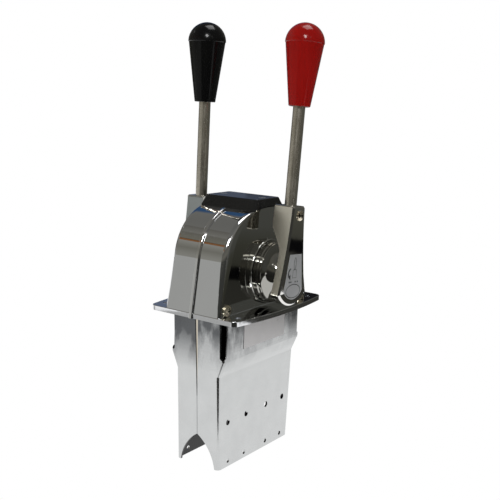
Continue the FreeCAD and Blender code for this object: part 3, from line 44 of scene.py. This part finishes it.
class Graph:
    """Builds the nodes of a material or of the world."""

    def __init__(self, owner, output="ShaderNodeOutputMaterial"):
        self.owner = owner
        owner.use_nodes = True
        self.tree = owner.node_tree
        self.tree.nodes.clear()
        self.output = self.add(output)

    def add(self, kind, **values):
        node = self.tree.nodes.new(kind)
        for key, value in values.items():
            setattr(node, key, value)
        return node

    def link(self, source, target):
        self.tree.links.new(source, target)

    def feed(self, socket, value):
        """Sets a socket to a number or vector, or links it to another socket."""
        if isinstance(value, bpy.types.NodeSocket):
            self.link(value, socket)
        else:
            socket.default_value = value

    def surface(self, kind, **inputs):
        """Adds a shader node with its sockets set; gives the node and its output."""
        node = self.add(kind)
        for key, value in inputs.items():
            node.inputs[key.replace("_", " ")].default_value = value
        return node, node.outputs[0]

    def principled(self, **inputs):
        bsdf, shader = self.surface("ShaderNodeBsdfPrincipled", **inputs)
        self.link(shader, self.output.inputs["Surface"])
        return bsdf

    def place(self, kind="Object"):
        return self.add("ShaderNodeTexCoord").outputs[kind]

    def coordinates(self, scale=(1, 1, 1), turn=(0, 0, 0)):
        """Object coordinates, scaled along each axis and turned."""
        mapping = self.add("ShaderNodeMapping")
        mapping.inputs["Scale"].default_value = scale
        mapping.inputs["Rotation"].default_value = turn
        self.link(self.place(), mapping.inputs["Vector"])
        return mapping.outputs["Vector"]

    def split(self, vector):
        node = self.add("ShaderNodeSeparateXYZ")
        self.link(vector, node.inputs["Vector"])
        return node.outputs

    def noise(self, vector, scale, detail=3.0, rough=0.55):
        node = self.add("ShaderNodeTexNoise")
        node.inputs["Scale"].default_value = scale
        node.inputs["Detail"].default_value = detail
        node.inputs["Roughness"].default_value = rough
        self.link(vector, node.inputs["Vector"])
        return node.outputs["Fac"]

    def spread(self, value, low, high, start=0.3, end=0.7):
        """Low where the value is at start, high where it is at end, clamped."""
        node = self.add("ShaderNodeMapRange")
        node.inputs["From Min"].default_value = start
        node.inputs["From Max"].default_value = end
        node.inputs["To Min"].default_value = low
        node.inputs["To Max"].default_value = high
        self.link(value, node.inputs["Value"])
        return node.outputs["Result"]

    def ramp(self, value, stops):
        node = self.add("ShaderNodeValToRGB")
        elements = node.color_ramp.elements
        while len(elements) < len(stops):
            elements.new(0.5)
        for element, (place, colour) in zip(elements, stops):
            element.position = place
            element.color = (*colour, 1)
        self.link(value, node.inputs["Fac"])
        return node.outputs["Color"]

    def clouded(self, value, dark, light):
        """Soft patches between two colours, from a noise value."""
        return self.ramp(value, [(0.3, dark), (0.7, light)])

    def tinted(self, shade, factor, tone):
        """The shade turned to another tone where the factor is 1."""
        mix = self.add("ShaderNodeMix", data_type="RGBA")
        self.link(factor, mix.inputs["Factor"])
        self.link(shade, mix.inputs["A"])
        mix.inputs["B"].default_value = (*tone, 1)
        return mix.outputs["Result"]

    def bump(self, target, height, strength, distance):
        """Bumps the normal of a shader, or of another bump node."""
        node = self.add("ShaderNodeBump")
        node.inputs["Strength"].default_value = strength
        node.inputs["Distance"].default_value = distance
        self.link(height, node.inputs["Height"])
        self.link(node.outputs["Normal"], target.inputs["Normal"])
        return node

    def math(self, kind, first, second=0):
        node = self.add("ShaderNodeMath", operation=kind)
        self.feed(node.inputs[0], first)
        self.feed(node.inputs[1], second)
        return node.outputs["Value"]

    def vector(self, kind, first, second=None):
        node = self.add("ShaderNodeVectorMath", operation=kind)
        self.feed(node.inputs[0], first)
        if second is not None:
            self.feed(node.inputs[1], second)
        return node.outputs["Value" if kind == "DOT_PRODUCT" else "Vector"]


def new_material(name):
    return Graph(bpy.data.materials.new(name))


# ---------------------------------------------------------------- materials

# Places on the part, in millimetres
FLANGE_TOP = 5.0
PANEL_FACE = (29.3, 29.8)
ARM_FOOT = 22.0
SHAFT_HEIGHT = 36.9
SIDE_SCREW_ALONG = 60.8
SIDE_SCREW_UP = 9.8
ROD_SCREW = 54.3
LEAN = {"shift": math.radians(1.0), "throttle": math.radians(4.6)}
SCREW_SPOTS = [(-SIDE_SCREW_ALONG, SIDE_SCREW_UP), (SIDE_SCREW_ALONG, SIDE_SCREW_UP)]
SCREW_SPOTS += [(ROD_SCREW * math.sin(a), SHAFT_HEIGHT + ROD_SCREW * math.cos(a))
                for a in LEAN.values()]
CROSS_REACH = 2.3
CROSS_HALF = 0.55
# Heights on the frame between which the mottled painted shade under the flange grows to full
MOTTLED_SHADE_END = -50.0
MOTTLED_SHADE_FULL = -12.0

# Chrome: noise sizes are in waves per metre, depths in metres
CHROME_TINT = (0.80, 0.81, 0.83)
LEVER_TINT = (0.82, 0.81, 0.79)
CHROME_ROUGH = (0.03, 0.07)
CHROME_HAZE = 38
CHROME_PATCHES = 14
CHROME_SHADE = 0.95
WIPE_MARKS = (1500, 90, 220)
WIPE_TURN = (0.3, 0.5, 0.1)
WIPE_ROUGH = 0.02
WIPE_EDGES = (0.55, 0.8)
RIPPLES = 55
RIPPLE_STRENGTH = 0.06
RIPPLE_DEPTH = 0.0006
FLANK_ROUGH = 0.28
FLANK_TURN = (0.80, 0.92)
ARM_TILT = 0.098

# Other metals and plastics
GRAIN_DEPTH = 0.0002
GRAIN_ROUGH = (-0.05, 0.05)
METAL_CLOUDS = 45
METAL_MOTTLE = 0.06
PLASTIC_HAZE = 60
PLASTIC_PATCHES = 40
PLASTIC_SHADE = 0.9
PLASTIC_GRAIN = 700
COAT_ROUGH = 0.04

# Painted shade on them: in cross recesses, on the frame's inside faces and mottled under the
# flange
RECESS_PAINTED_SHADE = (0.03, 0.028, 0.024)
INSIDE_PAINTED_SHADE = (0.05, 0.05, 0.05)
INSIDE_BELOW = 0.0005
MOTTLED_SHADE_TONE = (0.12, 0.125, 0.13)
MOTTLED_SHADE_SIZE = 60
MOTTLED_SHADE_STRETCH = (1, 1, 0.45)
MOTTLED_SHADE_TURN = (0.5, 0.2, 0)
MOTTLED_SHADE_LEAST = 0.4
MOTTLED_SHADE_EDGES = (0.44, 0.58)
LEFT_MOTTLED_SHADE = 0.6


def chrome(name, tint=CHROME_TINT, flank_painted_tone=None, side_painted_shade=None, low_painted_reflection=None, tilt=0.0):
    """Plated metal: mirror finish with faint waviness, haze and fine wipe marks.

    The flank tone is a tone painted on the faces square to Y for how light falls on them, and
    those faces are also rougher. The side tone is painted shade on the housing's side panels and
    what stands out from them, and the low tone a painted reflection on what is below the flange.
    tilt slopes the shading normal above the arm's foot, as if the face leaned.
    """
    graph = new_material(name)
    bsdf = graph.principled(Metallic=1.0)
    where = graph.coordinates()
    haze = graph.noise(where, CHROME_HAZE, 4)
    wipes = graph.noise(graph.coordinates(WIPE_MARKS, WIPE_TURN), 1.0, 2)
    roughness = graph.math("ADD", graph.spread(haze, *CHROME_ROUGH),
                           graph.spread(wipes, 0, WIPE_ROUGH, *WIPE_EDGES))
    dark = tuple(c * CHROME_SHADE for c in tint)
    shade = graph.clouded(graph.noise(where, CHROME_PATCHES), dark, tint)
    spot = graph.split(graph.place())
    # Faces square to Y are rougher and get a painted tone for how light falls on them.
    if flank_painted_tone:
        flank = graph.math("ABSOLUTE", graph.split(graph.place("Normal"))["Y"])
        roughness = graph.math("ADD", roughness, graph.spread(flank, 0, FLANK_ROUGH, *FLANK_TURN))
        shade = graph.tinted(shade, graph.spread(flank, 0, 1, *FLANK_TURN), flank_painted_tone)
    # Painted shade on the side panels and what stands out from them, above the flange.
    if side_painted_shade:
        above = graph.math("GREATER_THAN", spot["Z"], FLANGE_TOP * MM)
        outward = graph.math("ABSOLUTE", spot["X"])
        outside = graph.spread(outward, 0, 1, *(face * MM for face in PANEL_FACE))
        shade = graph.tinted(shade, graph.math("MULTIPLY", above, outside), side_painted_shade)
    # A painted beige reflection on what lies below zero height.
    if low_painted_reflection:
        shade = graph.tinted(shade, graph.math("LESS_THAN", spot["Z"], 0.0), low_painted_reflection)
    graph.link(roughness, bsdf.inputs["Roughness"])
    graph.link(shade, bsdf.inputs["Base Color"])
    ripple = graph.bump(bsdf, graph.noise(where, RIPPLES, 2), RIPPLE_STRENGTH, RIPPLE_DEPTH)
    if tilt:
        graph.bump(ripple, graph.math("MAXIMUM", spot["Z"], ARM_FOOT * MM), 1.0, tilt)
    return graph.owner


def painted_cross_recess_shade(graph, shade):
    """Paints the shade of a cross recess at each of the screw spots."""
    spot = graph.split(graph.place())
    mask = None
    for y, z in SCREW_SPOTS:
        du = graph.math("ABSOLUTE", graph.math("SUBTRACT", spot["Y"], y * MM))
        dv = graph.math("ABSOLUTE", graph.math("SUBTRACT", spot["Z"], z * MM))
        near = graph.math("LESS_THAN", graph.math("MINIMUM", du, dv), CROSS_HALF * MM)
        inside = graph.math("LESS_THAN", graph.math("MAXIMUM", du, dv), CROSS_REACH * MM)
        cross = graph.math("MULTIPLY", near, inside)
        mask = cross if mask is None else graph.math("MAXIMUM", mask, cross)
    return graph.tinted(shade, mask, RECESS_PAINTED_SHADE)


def inside_shade(graph, shade):
    """Paints shade on the faces that look towards the frame's inside, and mottled painted shade
    on its upper end, more at the left.
    """
    across = graph.vector("MULTIPLY", graph.place(), (1, 1, 0))
    facing = graph.vector("DOT_PRODUCT", across, graph.place("Normal"))
    # Painted shade on the faces that look towards the frame's inside.
    shade = graph.tinted(shade, graph.math("LESS_THAN", facing, INSIDE_BELOW), INSIDE_PAINTED_SHADE)
    spot = graph.split(graph.place())
    # Mottled painted shade on the frame's upper end, stronger at the left.
    high = graph.spread(spot["Z"], 0, 1, MOTTLED_SHADE_END * MM, MOTTLED_SHADE_FULL * MM)
    patches = graph.noise(graph.coordinates(MOTTLED_SHADE_STRETCH, MOTTLED_SHADE_TURN), MOTTLED_SHADE_SIZE, 4)
    cloud = graph.spread(patches, MOTTLED_SHADE_LEAST, 1, *MOTTLED_SHADE_EDGES)
    left = graph.math("MULTIPLY", graph.math("LESS_THAN", spot["X"], 0.0), LEFT_MOTTLED_SHADE)
    return graph.tinted(shade, graph.math("MULTIPLY", high, graph.math("ADD", cloud, left)),
                        MOTTLED_SHADE_TONE)


def metal(name, colour, rough, grain=(1, 1, 1), grain_scale=900, depth=0.12, over=None):
    """Machined or rolled metal with directional grain and soft mottling.

    over is a function that adds its own painted shade to the colour.
    """
    graph = new_material(name)
    bsdf = graph.principled(Metallic=1.0)
    lines = graph.noise(graph.coordinates(tuple(g * grain_scale for g in grain)), 1.0, 3, 0.6)
    cloud = graph.noise(graph.coordinates(), METAL_CLOUDS, 4)
    roughness = graph.math("ADD", graph.spread(lines, *GRAIN_ROUGH), graph.spread(cloud, *rough))
    graph.link(roughness, bsdf.inputs["Roughness"])
    shade = graph.clouded(cloud, tuple(max(c - METAL_MOTTLE, 0) for c in colour), colour)
    graph.link(over(graph, shade) if over else shade, bsdf.inputs["Base Color"])
    graph.bump(bsdf, lines, depth, GRAIN_DEPTH)
    return graph.owner


def plastic(name, colour, rough, depth=0.05, coat=0.0, specular=0.5):
    """Moulded plastic: slight waviness, fine grain and handling haze."""
    graph = new_material(name)
    bsdf = graph.principled(Coat_Weight=coat, Coat_Roughness=COAT_ROUGH,
                            Specular_IOR_Level=specular)
    where = graph.coordinates()
    haze = graph.noise(where, PLASTIC_HAZE, 4)
    graph.link(graph.spread(haze, *rough), bsdf.inputs["Roughness"])
    dark = tuple(c * PLASTIC_SHADE for c in colour)
    shade = graph.clouded(graph.noise(where, PLASTIC_PATCHES), dark, colour)
    graph.link(shade, bsdf.inputs["Base Color"])
    graph.bump(bsdf, graph.noise(where, PLASTIC_GRAIN), depth, GRAIN_DEPTH)
    return graph.owner


LOOKS = {
    # Painted shade darkens the housing's side panels.
    "cast_chrome": (chrome, dict(side_painted_shade=(0.48, 0.48, 0.455))),
    # The throttle arm's flanks get a lighter, warmer painted sheen.
    "lever_chrome": (chrome, dict(tint=LEVER_TINT, flank_painted_tone=(1.0, 0.96, 0.85), tilt=ARM_TILT)),
    # The shift arm's copy gets painted shade on its flanks.
    "shift_chrome": (chrome, dict(tint=LEVER_TINT, flank_painted_tone=(0.40, 0.43, 0.43), tilt=ARM_TILT)),
    # The hubs' copy of the chrome is darkened as painted shade.
    "hub_chrome": (chrome, dict(tint=(0.40, 0.395, 0.37))),
    # The rib's centre plate has a painted beige reflection below the flange.
    "rib_chrome": (chrome, dict(tint=(0.86, 0.86, 0.87), low_painted_reflection=(0.55, 0.50, 0.42))),
    "cap_plastic": (plastic, dict(colour=(0.006, 0.006, 0.006), rough=(0.10, 0.16), depth=0.03)),
    # The frame sheet carries painted shade on its inside faces and mottled painted shade under
    # the flange.
    "frame_sheet": (metal, dict(colour=(0.62, 0.63, 0.63), rough=(0.14, 0.24),
                                grain=(0.02, 0.02, 1), grain_scale=1200, depth=0.05,
                                over=inside_shade)),
    # The fasteners carry painted shade in their cross recesses.
    "fastener_steel": (metal, dict(colour=(0.80, 0.73, 0.58), rough=(0.24, 0.34),
                                   grain_scale=700, depth=0.06, over=painted_cross_recess_shade)),
    "foil": (metal, dict(colour=(0.62, 0.61, 0.61), rough=(0.3, 0.4), grain=(1, 0.05, 1),
                         grain_scale=1500, depth=0.08)),
    "label": (plastic, dict(colour=(0.27, 0.27, 0.265), rough=(0.28, 0.36), depth=0.02)),
    "bush_bronze": (metal, dict(colour=(0.63, 0.45, 0.24), rough=(0.3, 0.4))),
    "seal_rubber": (plastic, dict(colour=(0.02, 0.02, 0.02), rough=(0.55, 0.7), depth=0.2)),
    "acetal": (plastic, dict(colour=(0.82, 0.81, 0.77), rough=(0.35, 0.45))),
    "spring_steel": (metal, dict(colour=(0.45, 0.45, 0.47), rough=(0.25, 0.35))),
    "ball_steel": (metal, dict(colour=(0.78, 0.79, 0.80), rough=(0.05, 0.08))),
    "rod_steel": (metal, dict(colour=(0.70, 0.66, 0.58), rough=(0.24, 0.32),
                              grain=(1, 1, 0.02), grain_scale=1600, depth=0.10)),
    "shaft_steel": (metal, dict(colour=(0.62, 0.62, 0.63), rough=(0.2, 0.3))),
    "crank_steel": (metal, dict(colour=(0.60, 0.61, 0.58), rough=(0.3, 0.42))),
    "swivel_brass": (metal, dict(colour=(0.72, 0.56, 0.28), rough=(0.2, 0.3))),
    "knob_black": (plastic, dict(colour=(0.0025, 0.0025, 0.0025), rough=(0.12, 0.20),
                                 coat=0.08, specular=0.18)),
    "knob_red": (plastic, dict(colour=(0.215, 0.003, 0.002), rough=(0.12, 0.18),
                               coat=0.08, specular=0.20)),
    "ink": (plastic, dict(colour=(0.006, 0.006, 0.006), rough=(0.4, 0.5))),
}
looks = {name: make(name, **settings) for name, (make, settings) in LOOKS.items()}

slot_of = {entry["node"]: entry["material_slot"] for entry in frame["record"]["subparts"]}
# The hubs take the copy of the chrome darkened as painted shade, the shift arm the copy with
# painted shade on its flanks.
slot_of.update(shift_hub="hub_chrome", throttle_hub="hub_chrome", shift_arm="shift_chrome")
for name, node in nodes.items():
    node.data.materials.clear()
    node.data.materials.append(looks[slot_of[name]])
    for polygon in node.data.polygons:
        polygon.material_index = 0


# ---------------------------------------------------------------- label drawing

# Millimetres: the face of the arm, the ink's height on it, and the drawing as (along, up)
# from the lever's shaft
ARM_FACE = 59.9
INK_PROUD = 0.33
KNOB_OUTLINE = dict(centre=(0.0, 10.6), radius_y=1.7, radius_z=5.4, count=28)
KNOB_LINE = 0.6
LEVER_FOOT = ((-2.6, 5.0), (2.8, 5.0), (3.6, -2.4), (-2.8, -2.4))
FOOT_LINE = 0.55
ARROW_BOW = dict(centre=(-7.0, 1.8), radius_y=3.0, radius_z=4.0, count=16, start=80, stop=235)
ARROW_LINE = 1.7
ARROW_HEAD = ((-10.6, -1.0), (-6.0, -4.4), (-6.6, 0.8))
DASHES = (-7.6, -4.8, 2.6, 6.2)
DASH_CORNERS = ((-0.9, -5.4), (0.9, -5.4), (0.9, -6.8), (-0.9, -6.8))
OVAL = dict(centre=(0, -14.6), radius_y=12.0, radius_z=6.2, count=44)
OVAL_LINE = 0.7


def strips(points, width, closed=True):
    """Quads of a line drawing along a row of points."""
    count = len(points)
    outer, inner = [], []
    for index, point in enumerate(points):
        along = (Vector(points[(index + 1) % count]) - Vector(points[index - 1])).normalized()
        across = Vector((along.y, -along.x)) * (width / 2)
        outer.append(Vector(point) + across)
        inner.append(Vector(point) - across)
    last = count if closed else count - 1
    return [[outer[i], outer[(i + 1) % count], inner[(i + 1) % count], inner[i]]
            for i in range(last)]


def circle_points(centre, radius_y, radius_z, count, start=0, stop=360):
    """Points of an ellipse, or of an arc of it with both its ends."""
    step = (stop - start) / count
    ends = int(stop - start < 360)
    angles = [math.radians(start + step * i) for i in range(count + ends)]
    return [(centre[0] + radius_y * math.cos(a), centre[1] + radius_z * math.sin(a))
            for a in angles]


def label_drawing():
    """A plain lever outline, a curved arrow, four dashes and an empty oval."""
    shapes = strips(circle_points(**KNOB_OUTLINE), KNOB_LINE)
    shapes += strips(LEVER_FOOT, FOOT_LINE)
    shapes += strips(circle_points(**ARROW_BOW), ARROW_LINE, closed=False)
    shapes.append([Vector(corner) for corner in ARROW_HEAD])
    shapes += [[Vector((y + a, b)) for a, b in DASH_CORNERS] for y in DASHES]
    shapes += strips(circle_points(**OVAL), OVAL_LINE)
    return shapes


for lever, side in (("shift", -1), ("throttle", 1)):
    lean = LEAN[lever]
    ink = bmesh.new()
    for corners in label_drawing():
        made = []
        for corner in corners:
            y = corner.x * math.cos(lean) + corner.y * math.sin(lean)
            z = SHAFT_HEIGHT + corner.y * math.cos(lean) - corner.x * math.sin(lean)
            made.append(ink.verts.new(((ARM_FACE + INK_PROUD) * side * MM, y * MM, z * MM)))
        ink.faces.new(made if side > 0 else made[::-1])
    mesh = bpy.data.meshes.new(lever + "_label_ink")
    ink.to_mesh(mesh)
    ink.free()
    mesh.materials.append(looks["ink"])
    drawing = bpy.data.objects.new(lever + "_label_ink", mesh)
    bpy.context.collection.objects.link(drawing)
    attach(drawing, lever + "_lever")
    # The side panels mirror the room and not the arms.
    for piece in ("arm", "label", "hub_screw", "rod_screw"):
        nodes[lever + "_" + piece].visible_glossy = False
    drawing.visible_glossy = False


# ---------------------------------------------------------------- floor, world and lamps

FLOOR_LEVEL = -0.1435
FLOOR_HALF = 4
FLOOR_TONE = (0.9, 0.9, 0.9, 1)
WHITE = (1, 1, 1, 1)
SKY_TONE = (0.92, 0.95, 1.0, 1)
SKY_STRENGTH = 0.55
LAMP_AIM = (0, 0, 0.05)

# Each lamp is its name, place, edge and power.
LAMPS = (("key_light", (0.9, -1.3, 1.3), 0.4, 16),
         ("fill_light", (-1.4, -0.7, 0.9), 0.9, 9),
         ("top_light", (0.1, 0.3, 1.7), 0.8, 10))


def stage_piece(name, points, faces, material):
    mesh = bpy.data.meshes.new(name)
    mesh.from_pydata([Vector(point) for point in points], [], faces)
    mesh.materials.append(material)
    piece = bpy.data.objects.new(name, mesh)
    bpy.context.collection.objects.link(piece)
    return piece


def plane(name, corners, material):
    return stage_piece(name, corners, [tuple(range(len(corners)))], material)


def level_square(low, high, level):
    """Corners of a level rectangle between two points in X and Y."""
    return [(low[0], low[1], level), (high[0], low[1], level),
            (high[0], high[1], level), (low[0], high[1], level)]


def white_when_seen(graph, base, white):
    """White for camera, glossy and transmission rays, the base shader for the rest."""
    path = graph.add("ShaderNodeLightPath")
    seen = graph.math("MAXIMUM", path.outputs["Is Camera Ray"], path.outputs["Is Glossy Ray"])
    seen = graph.math("MAXIMUM", seen, path.outputs["Is Transmission Ray"])
    mix = graph.add("ShaderNodeMixShader")
    graph.link(seen, mix.inputs["Fac"])
    graph.link(base, mix.inputs[1])
    graph.link(white, mix.inputs[2])
    graph.link(mix.outputs["Shader"], graph.output.inputs["Surface"])


floor = new_material("floor_white")
white_when_seen(floor, floor.surface("ShaderNodeBsdfDiffuse", Color=FLOOR_TONE)[1],
                floor.surface("ShaderNodeEmission", Color=WHITE)[1])
plane("floor", level_square((-FLOOR_HALF, -FLOOR_HALF), (FLOOR_HALF, FLOOR_HALF), FLOOR_LEVEL),
      floor.owner)

world = bpy.data.worlds.new("studio")
bpy.context.scene.world = world
sky = Graph(world, "ShaderNodeOutputWorld")
white_when_seen(
    sky, sky.surface("ShaderNodeBackground", Color=SKY_TONE, Strength=SKY_STRENGTH)[1],
    sky.surface("ShaderNodeBackground", Color=WHITE, Strength=1.0)[1])

for name, place, size, power in LAMPS:
    data = bpy.data.lights.new(name, "AREA")
    data.shape = "RECTANGLE"
    data.size = data.size_y = size
    data.energy = power
    lamp = bpy.data.objects.new(name, data)
    bpy.context.collection.objects.link(lamp)
    lamp.location = place
    lamp.rotation_euler = (Vector(LAMP_AIM) - Vector(place)).to_track_quat("-Z", "Y").to_euler()


# ---------------------------------------------------------------- what the mirrors see

# Each card is its name, its centre in X and Y, the direction it faces, its width, its
# lowest and highest level, and its colours as (share of the height, colour).
GREY = (0.375, 0.375, 0.355)
MIDDLE = (0.255, 0.25, 0.22)
BROWN = (0.20, 0.085, 0.03)
ROOM = (0.155, 0.148, 0.118)
BLACK = (0.0025, 0.0025, 0.003)
TABLE_EDGE = (0.42, 0.42, 0.41)
FAR_DARK = (0.010, 0.010, 0.011)
CARDS = (
    ("room_front", (-0.50, -0.76), (0.55, 0.83), 1.9, FLOOR_LEVEL, 1.3,
     [(0.0, GREY), (0.176, GREY), (0.179, MIDDLE), (0.33, (0.17, 0.165, 0.14)),
      (0.475, MIDDLE), (0.484, BROWN), (0.516, BROWN), (0.520, (0.05, 0.045, 0.035)),
      (0.532, ROOM), (0.70, (0.125, 0.12, 0.10)), (0.73, (0.17, 0.165, 0.145)),
      (1.0, (0.12, 0.115, 0.10))]),
    ("table_edge", (-0.28, -0.40), (0.55, 0.83), 0.9, FLOOR_LEVEL, -0.105,
     [(0.0, TABLE_EDGE), (1.0, TABLE_EDGE)]),
    ("room_right", (0.32, 0.40), (-0.6, -0.77), 1.5, FLOOR_LEVEL, 0.40,
     [(0.0, (0.042, 0.041, 0.036)), (0.115, (0.036, 0.036, 0.031)), (0.118, BLACK),
      (0.153, BLACK), (0.157, (0.048, 0.048, 0.039)), (0.215, (0.062, 0.062, 0.050)),
      (0.27, (0.090, 0.091, 0.083)), (0.40, (0.100, 0.101, 0.092)),
      (1.0, (0.09, 0.088, 0.075))]),
    ("room_camera", (0.34, -0.46), (-0.6, 0.8), 1.0, FLOOR_LEVEL, 0.34,
     [(0.0, (0.022, 0.022, 0.020)), (0.45, (0.040, 0.040, 0.036)),
      (0.62, (0.13, 0.125, 0.105)), (1.0, (0.10, 0.097, 0.085))]),
    ("far_dark", (-0.230, 0.463), (0.57, -0.82), 0.15, 0.0, 0.16,
     [(0.0, FAR_DARK), (1.0, FAR_DARK)]),
)
TABLE_DARK = (0.030, 0.029, 0.026)
TABLE_DARK_CORNERS = ((0.07, -1.2), (1.3, -0.10))
TABLE_DARK_LEVEL = FLOOR_LEVEL + 0.001

# Each lit panel is its name, place and size.
LAMP_ROWS = (("lamp_row_1", (0.78, -0.62, 0.95), (0.07, 0.16)),
             ("lamp_row_2", (1.02, -0.40, 0.80), (0.06, 0.16)),
             ("lamp_row_3", (0.45, -0.95, 1.05), (0.07, 0.18)))
LAMP_ROW_AIM = (0, 0, 0.06)
LAMP_ROW_TONE = (1.0, 0.98, 0.93)
LAMP_ROW_STRENGTH = 2.5

# The room's walls and ceiling are rings of (radius, level). Its colours change with the
# height of the direction, and its blue screens are (direction, edge, full, colour).
ROOM_RINGS = ((2.2, -0.14), (2.2, 0.9), (1.6, 1.9), (0.6, 2.4))
ROOM_SIDES = 48
ROOM_HEIGHTS = (-0.2, 1.0)
ROOM_COLOURS = [(0.0, (0.30, 0.29, 0.27)), (0.11, (0.20, 0.19, 0.17)),
                (0.14, (0.055, 0.052, 0.042)), (0.24, (0.10, 0.097, 0.082)),
                (0.40, (0.15, 0.145, 0.125)), (0.70, (0.17, 0.165, 0.15)),
                (1.0, (0.12, 0.12, 0.11))]
SCREENS = (((-0.60, 0.59, 0.54), 0.945, 0.975, (0.030, 0.072, 0.150)),
           ((-0.60, 0.78, 0.17), 0.93, 0.975, (0.115, 0.14, 0.20)))


def emission(name, colour=(0, 0, 0), strength=1.0):
    graph = new_material(name)
    glow, shader = graph.surface("ShaderNodeEmission", Color=(*colour, 1), Strength=strength)
    graph.link(shader, graph.output.inputs["Surface"])
    return graph, glow


def only_reflected(card):
    """Leaves a card to mirrors alone, as studio flags and screens are used."""
    card.visible_camera = False
    card.visible_diffuse = False
    card.visible_shadow = False
    card.visible_transmission = False
    card.visible_volume_scatter = False


def upright(centre, facing, width, low, high):
    """Corners of an upright card round a point, square to a direction."""
    across = Vector((-facing[1], facing[0], 0)).normalized() * (width / 2)
    middle = Vector((centre[0], centre[1], 0))
    return [middle - across + Vector((0, 0, low)), middle + across + Vector((0, 0, low)),
            middle + across + Vector((0, 0, high)), middle - across + Vector((0, 0, high))]


def facing_part(place, size):
    """Corners of a small card that faces the part."""
    centre = Vector(place)
    back = (Vector(LAMP_ROW_AIM) - centre).normalized()
    across = back.cross(Vector((0, 0, 1))).normalized() * (size[0] / 2)
    over = across.cross(back).normalized() * (size[1] / 2)
    return [centre - across - over, centre + across - over,
            centre + across + over, centre - across + over]


def dark_room():
    """Dim room round the part: walls, ceiling and two blue screens at the left."""
    graph, glow = emission("room_wall")
    unit = graph.vector("NORMALIZE", graph.place())
    height = graph.spread(graph.split(unit)["Z"], 0, 1, *ROOM_HEIGHTS)
    colour = graph.ramp(height, ROOM_COLOURS)
    for direction, edge, full, tone in SCREENS:
        near = graph.vector("DOT_PRODUCT", unit, Vector(direction).normalized())
        colour = graph.tinted(colour, graph.spread(near, 0, 1, edge, full), tone)
    graph.link(colour, glow.inputs["Color"])
    turns = [2 * math.pi * i / ROOM_SIDES for i in range(ROOM_SIDES)]
    points = [(radius * math.cos(turn), radius * math.sin(turn), level)
              for radius, level in ROOM_RINGS for turn in turns]
    ceiling = len(points) - ROOM_SIDES
    faces = []
    for start in range(0, ceiling, ROOM_SIDES):
        for i in range(ROOM_SIDES):
            low, low_next = start + i, start + (i + 1) % ROOM_SIDES
            faces.append((low, low_next, low_next + ROOM_SIDES, low + ROOM_SIDES))
    faces.append(tuple(range(ceiling, len(points))))
    only_reflected(stage_piece("room", points, faces, graph.owner))


dark_room()
for name, centre, facing, width, low, high, stops in CARDS:
    graph, glow = emission(name)
    share = graph.spread(graph.split(graph.place())["Z"], 0, 1, low, high)
    graph.link(graph.ramp(share, stops), glow.inputs["Color"])
    only_reflected(plane(name, upright(centre, facing, width, low, high), graph.owner))
graph, _ = emission("table_dark", TABLE_DARK)
only_reflected(plane("table_dark", level_square(*TABLE_DARK_CORNERS, TABLE_DARK_LEVEL),
                     graph.owner))
for name, place, size in LAMP_ROWS:
    graph, _ = emission(name, LAMP_ROW_TONE, LAMP_ROW_STRENGTH)
    only_reflected(plane(name, facing_part(place, size), graph.owner))


# ---------------------------------------------------------------- camera

CAMERA_PLACE = Vector((0.4587, -0.6480, 0.1955))
YAW, PITCH, ROLL = (math.radians(angle) for angle in (34.67, 10.22, 2.16))
SENSOR_WIDTH = 36
FOCAL_PIXELS = 857
PICTURE_PIXELS = 500

forward = Vector((-math.sin(YAW) * math.cos(PITCH), math.cos(YAW) * math.cos(PITCH),
                  -math.sin(PITCH)))
right = Vector((math.cos(YAW), math.sin(YAW), 0))
up = right.cross(forward)
right_rolled = right * math.cos(ROLL) + up * math.sin(ROLL)
up_rolled = up * math.cos(ROLL) - right * math.sin(ROLL)
camera_data = bpy.data.cameras.new("camera")
camera_data.sensor_width = SENSOR_WIDTH
camera_data.lens = SENSOR_WIDTH * FOCAL_PIXELS / PICTURE_PIXELS
camera_data.clip_start = 0.01
camera = bpy.data.objects.new("camera", camera_data)
bpy.context.collection.objects.link(camera)
axes = (right_rolled, up_rolled, -forward, CAMERA_PLACE)
camera.matrix_world = Matrix([[axis[row] for axis in axes] for row in range(3)] + [(0, 0, 0, 1)])
bpy.context.scene.camera = camera
bpy.context.scene.view_settings.view_transform = "Standard"
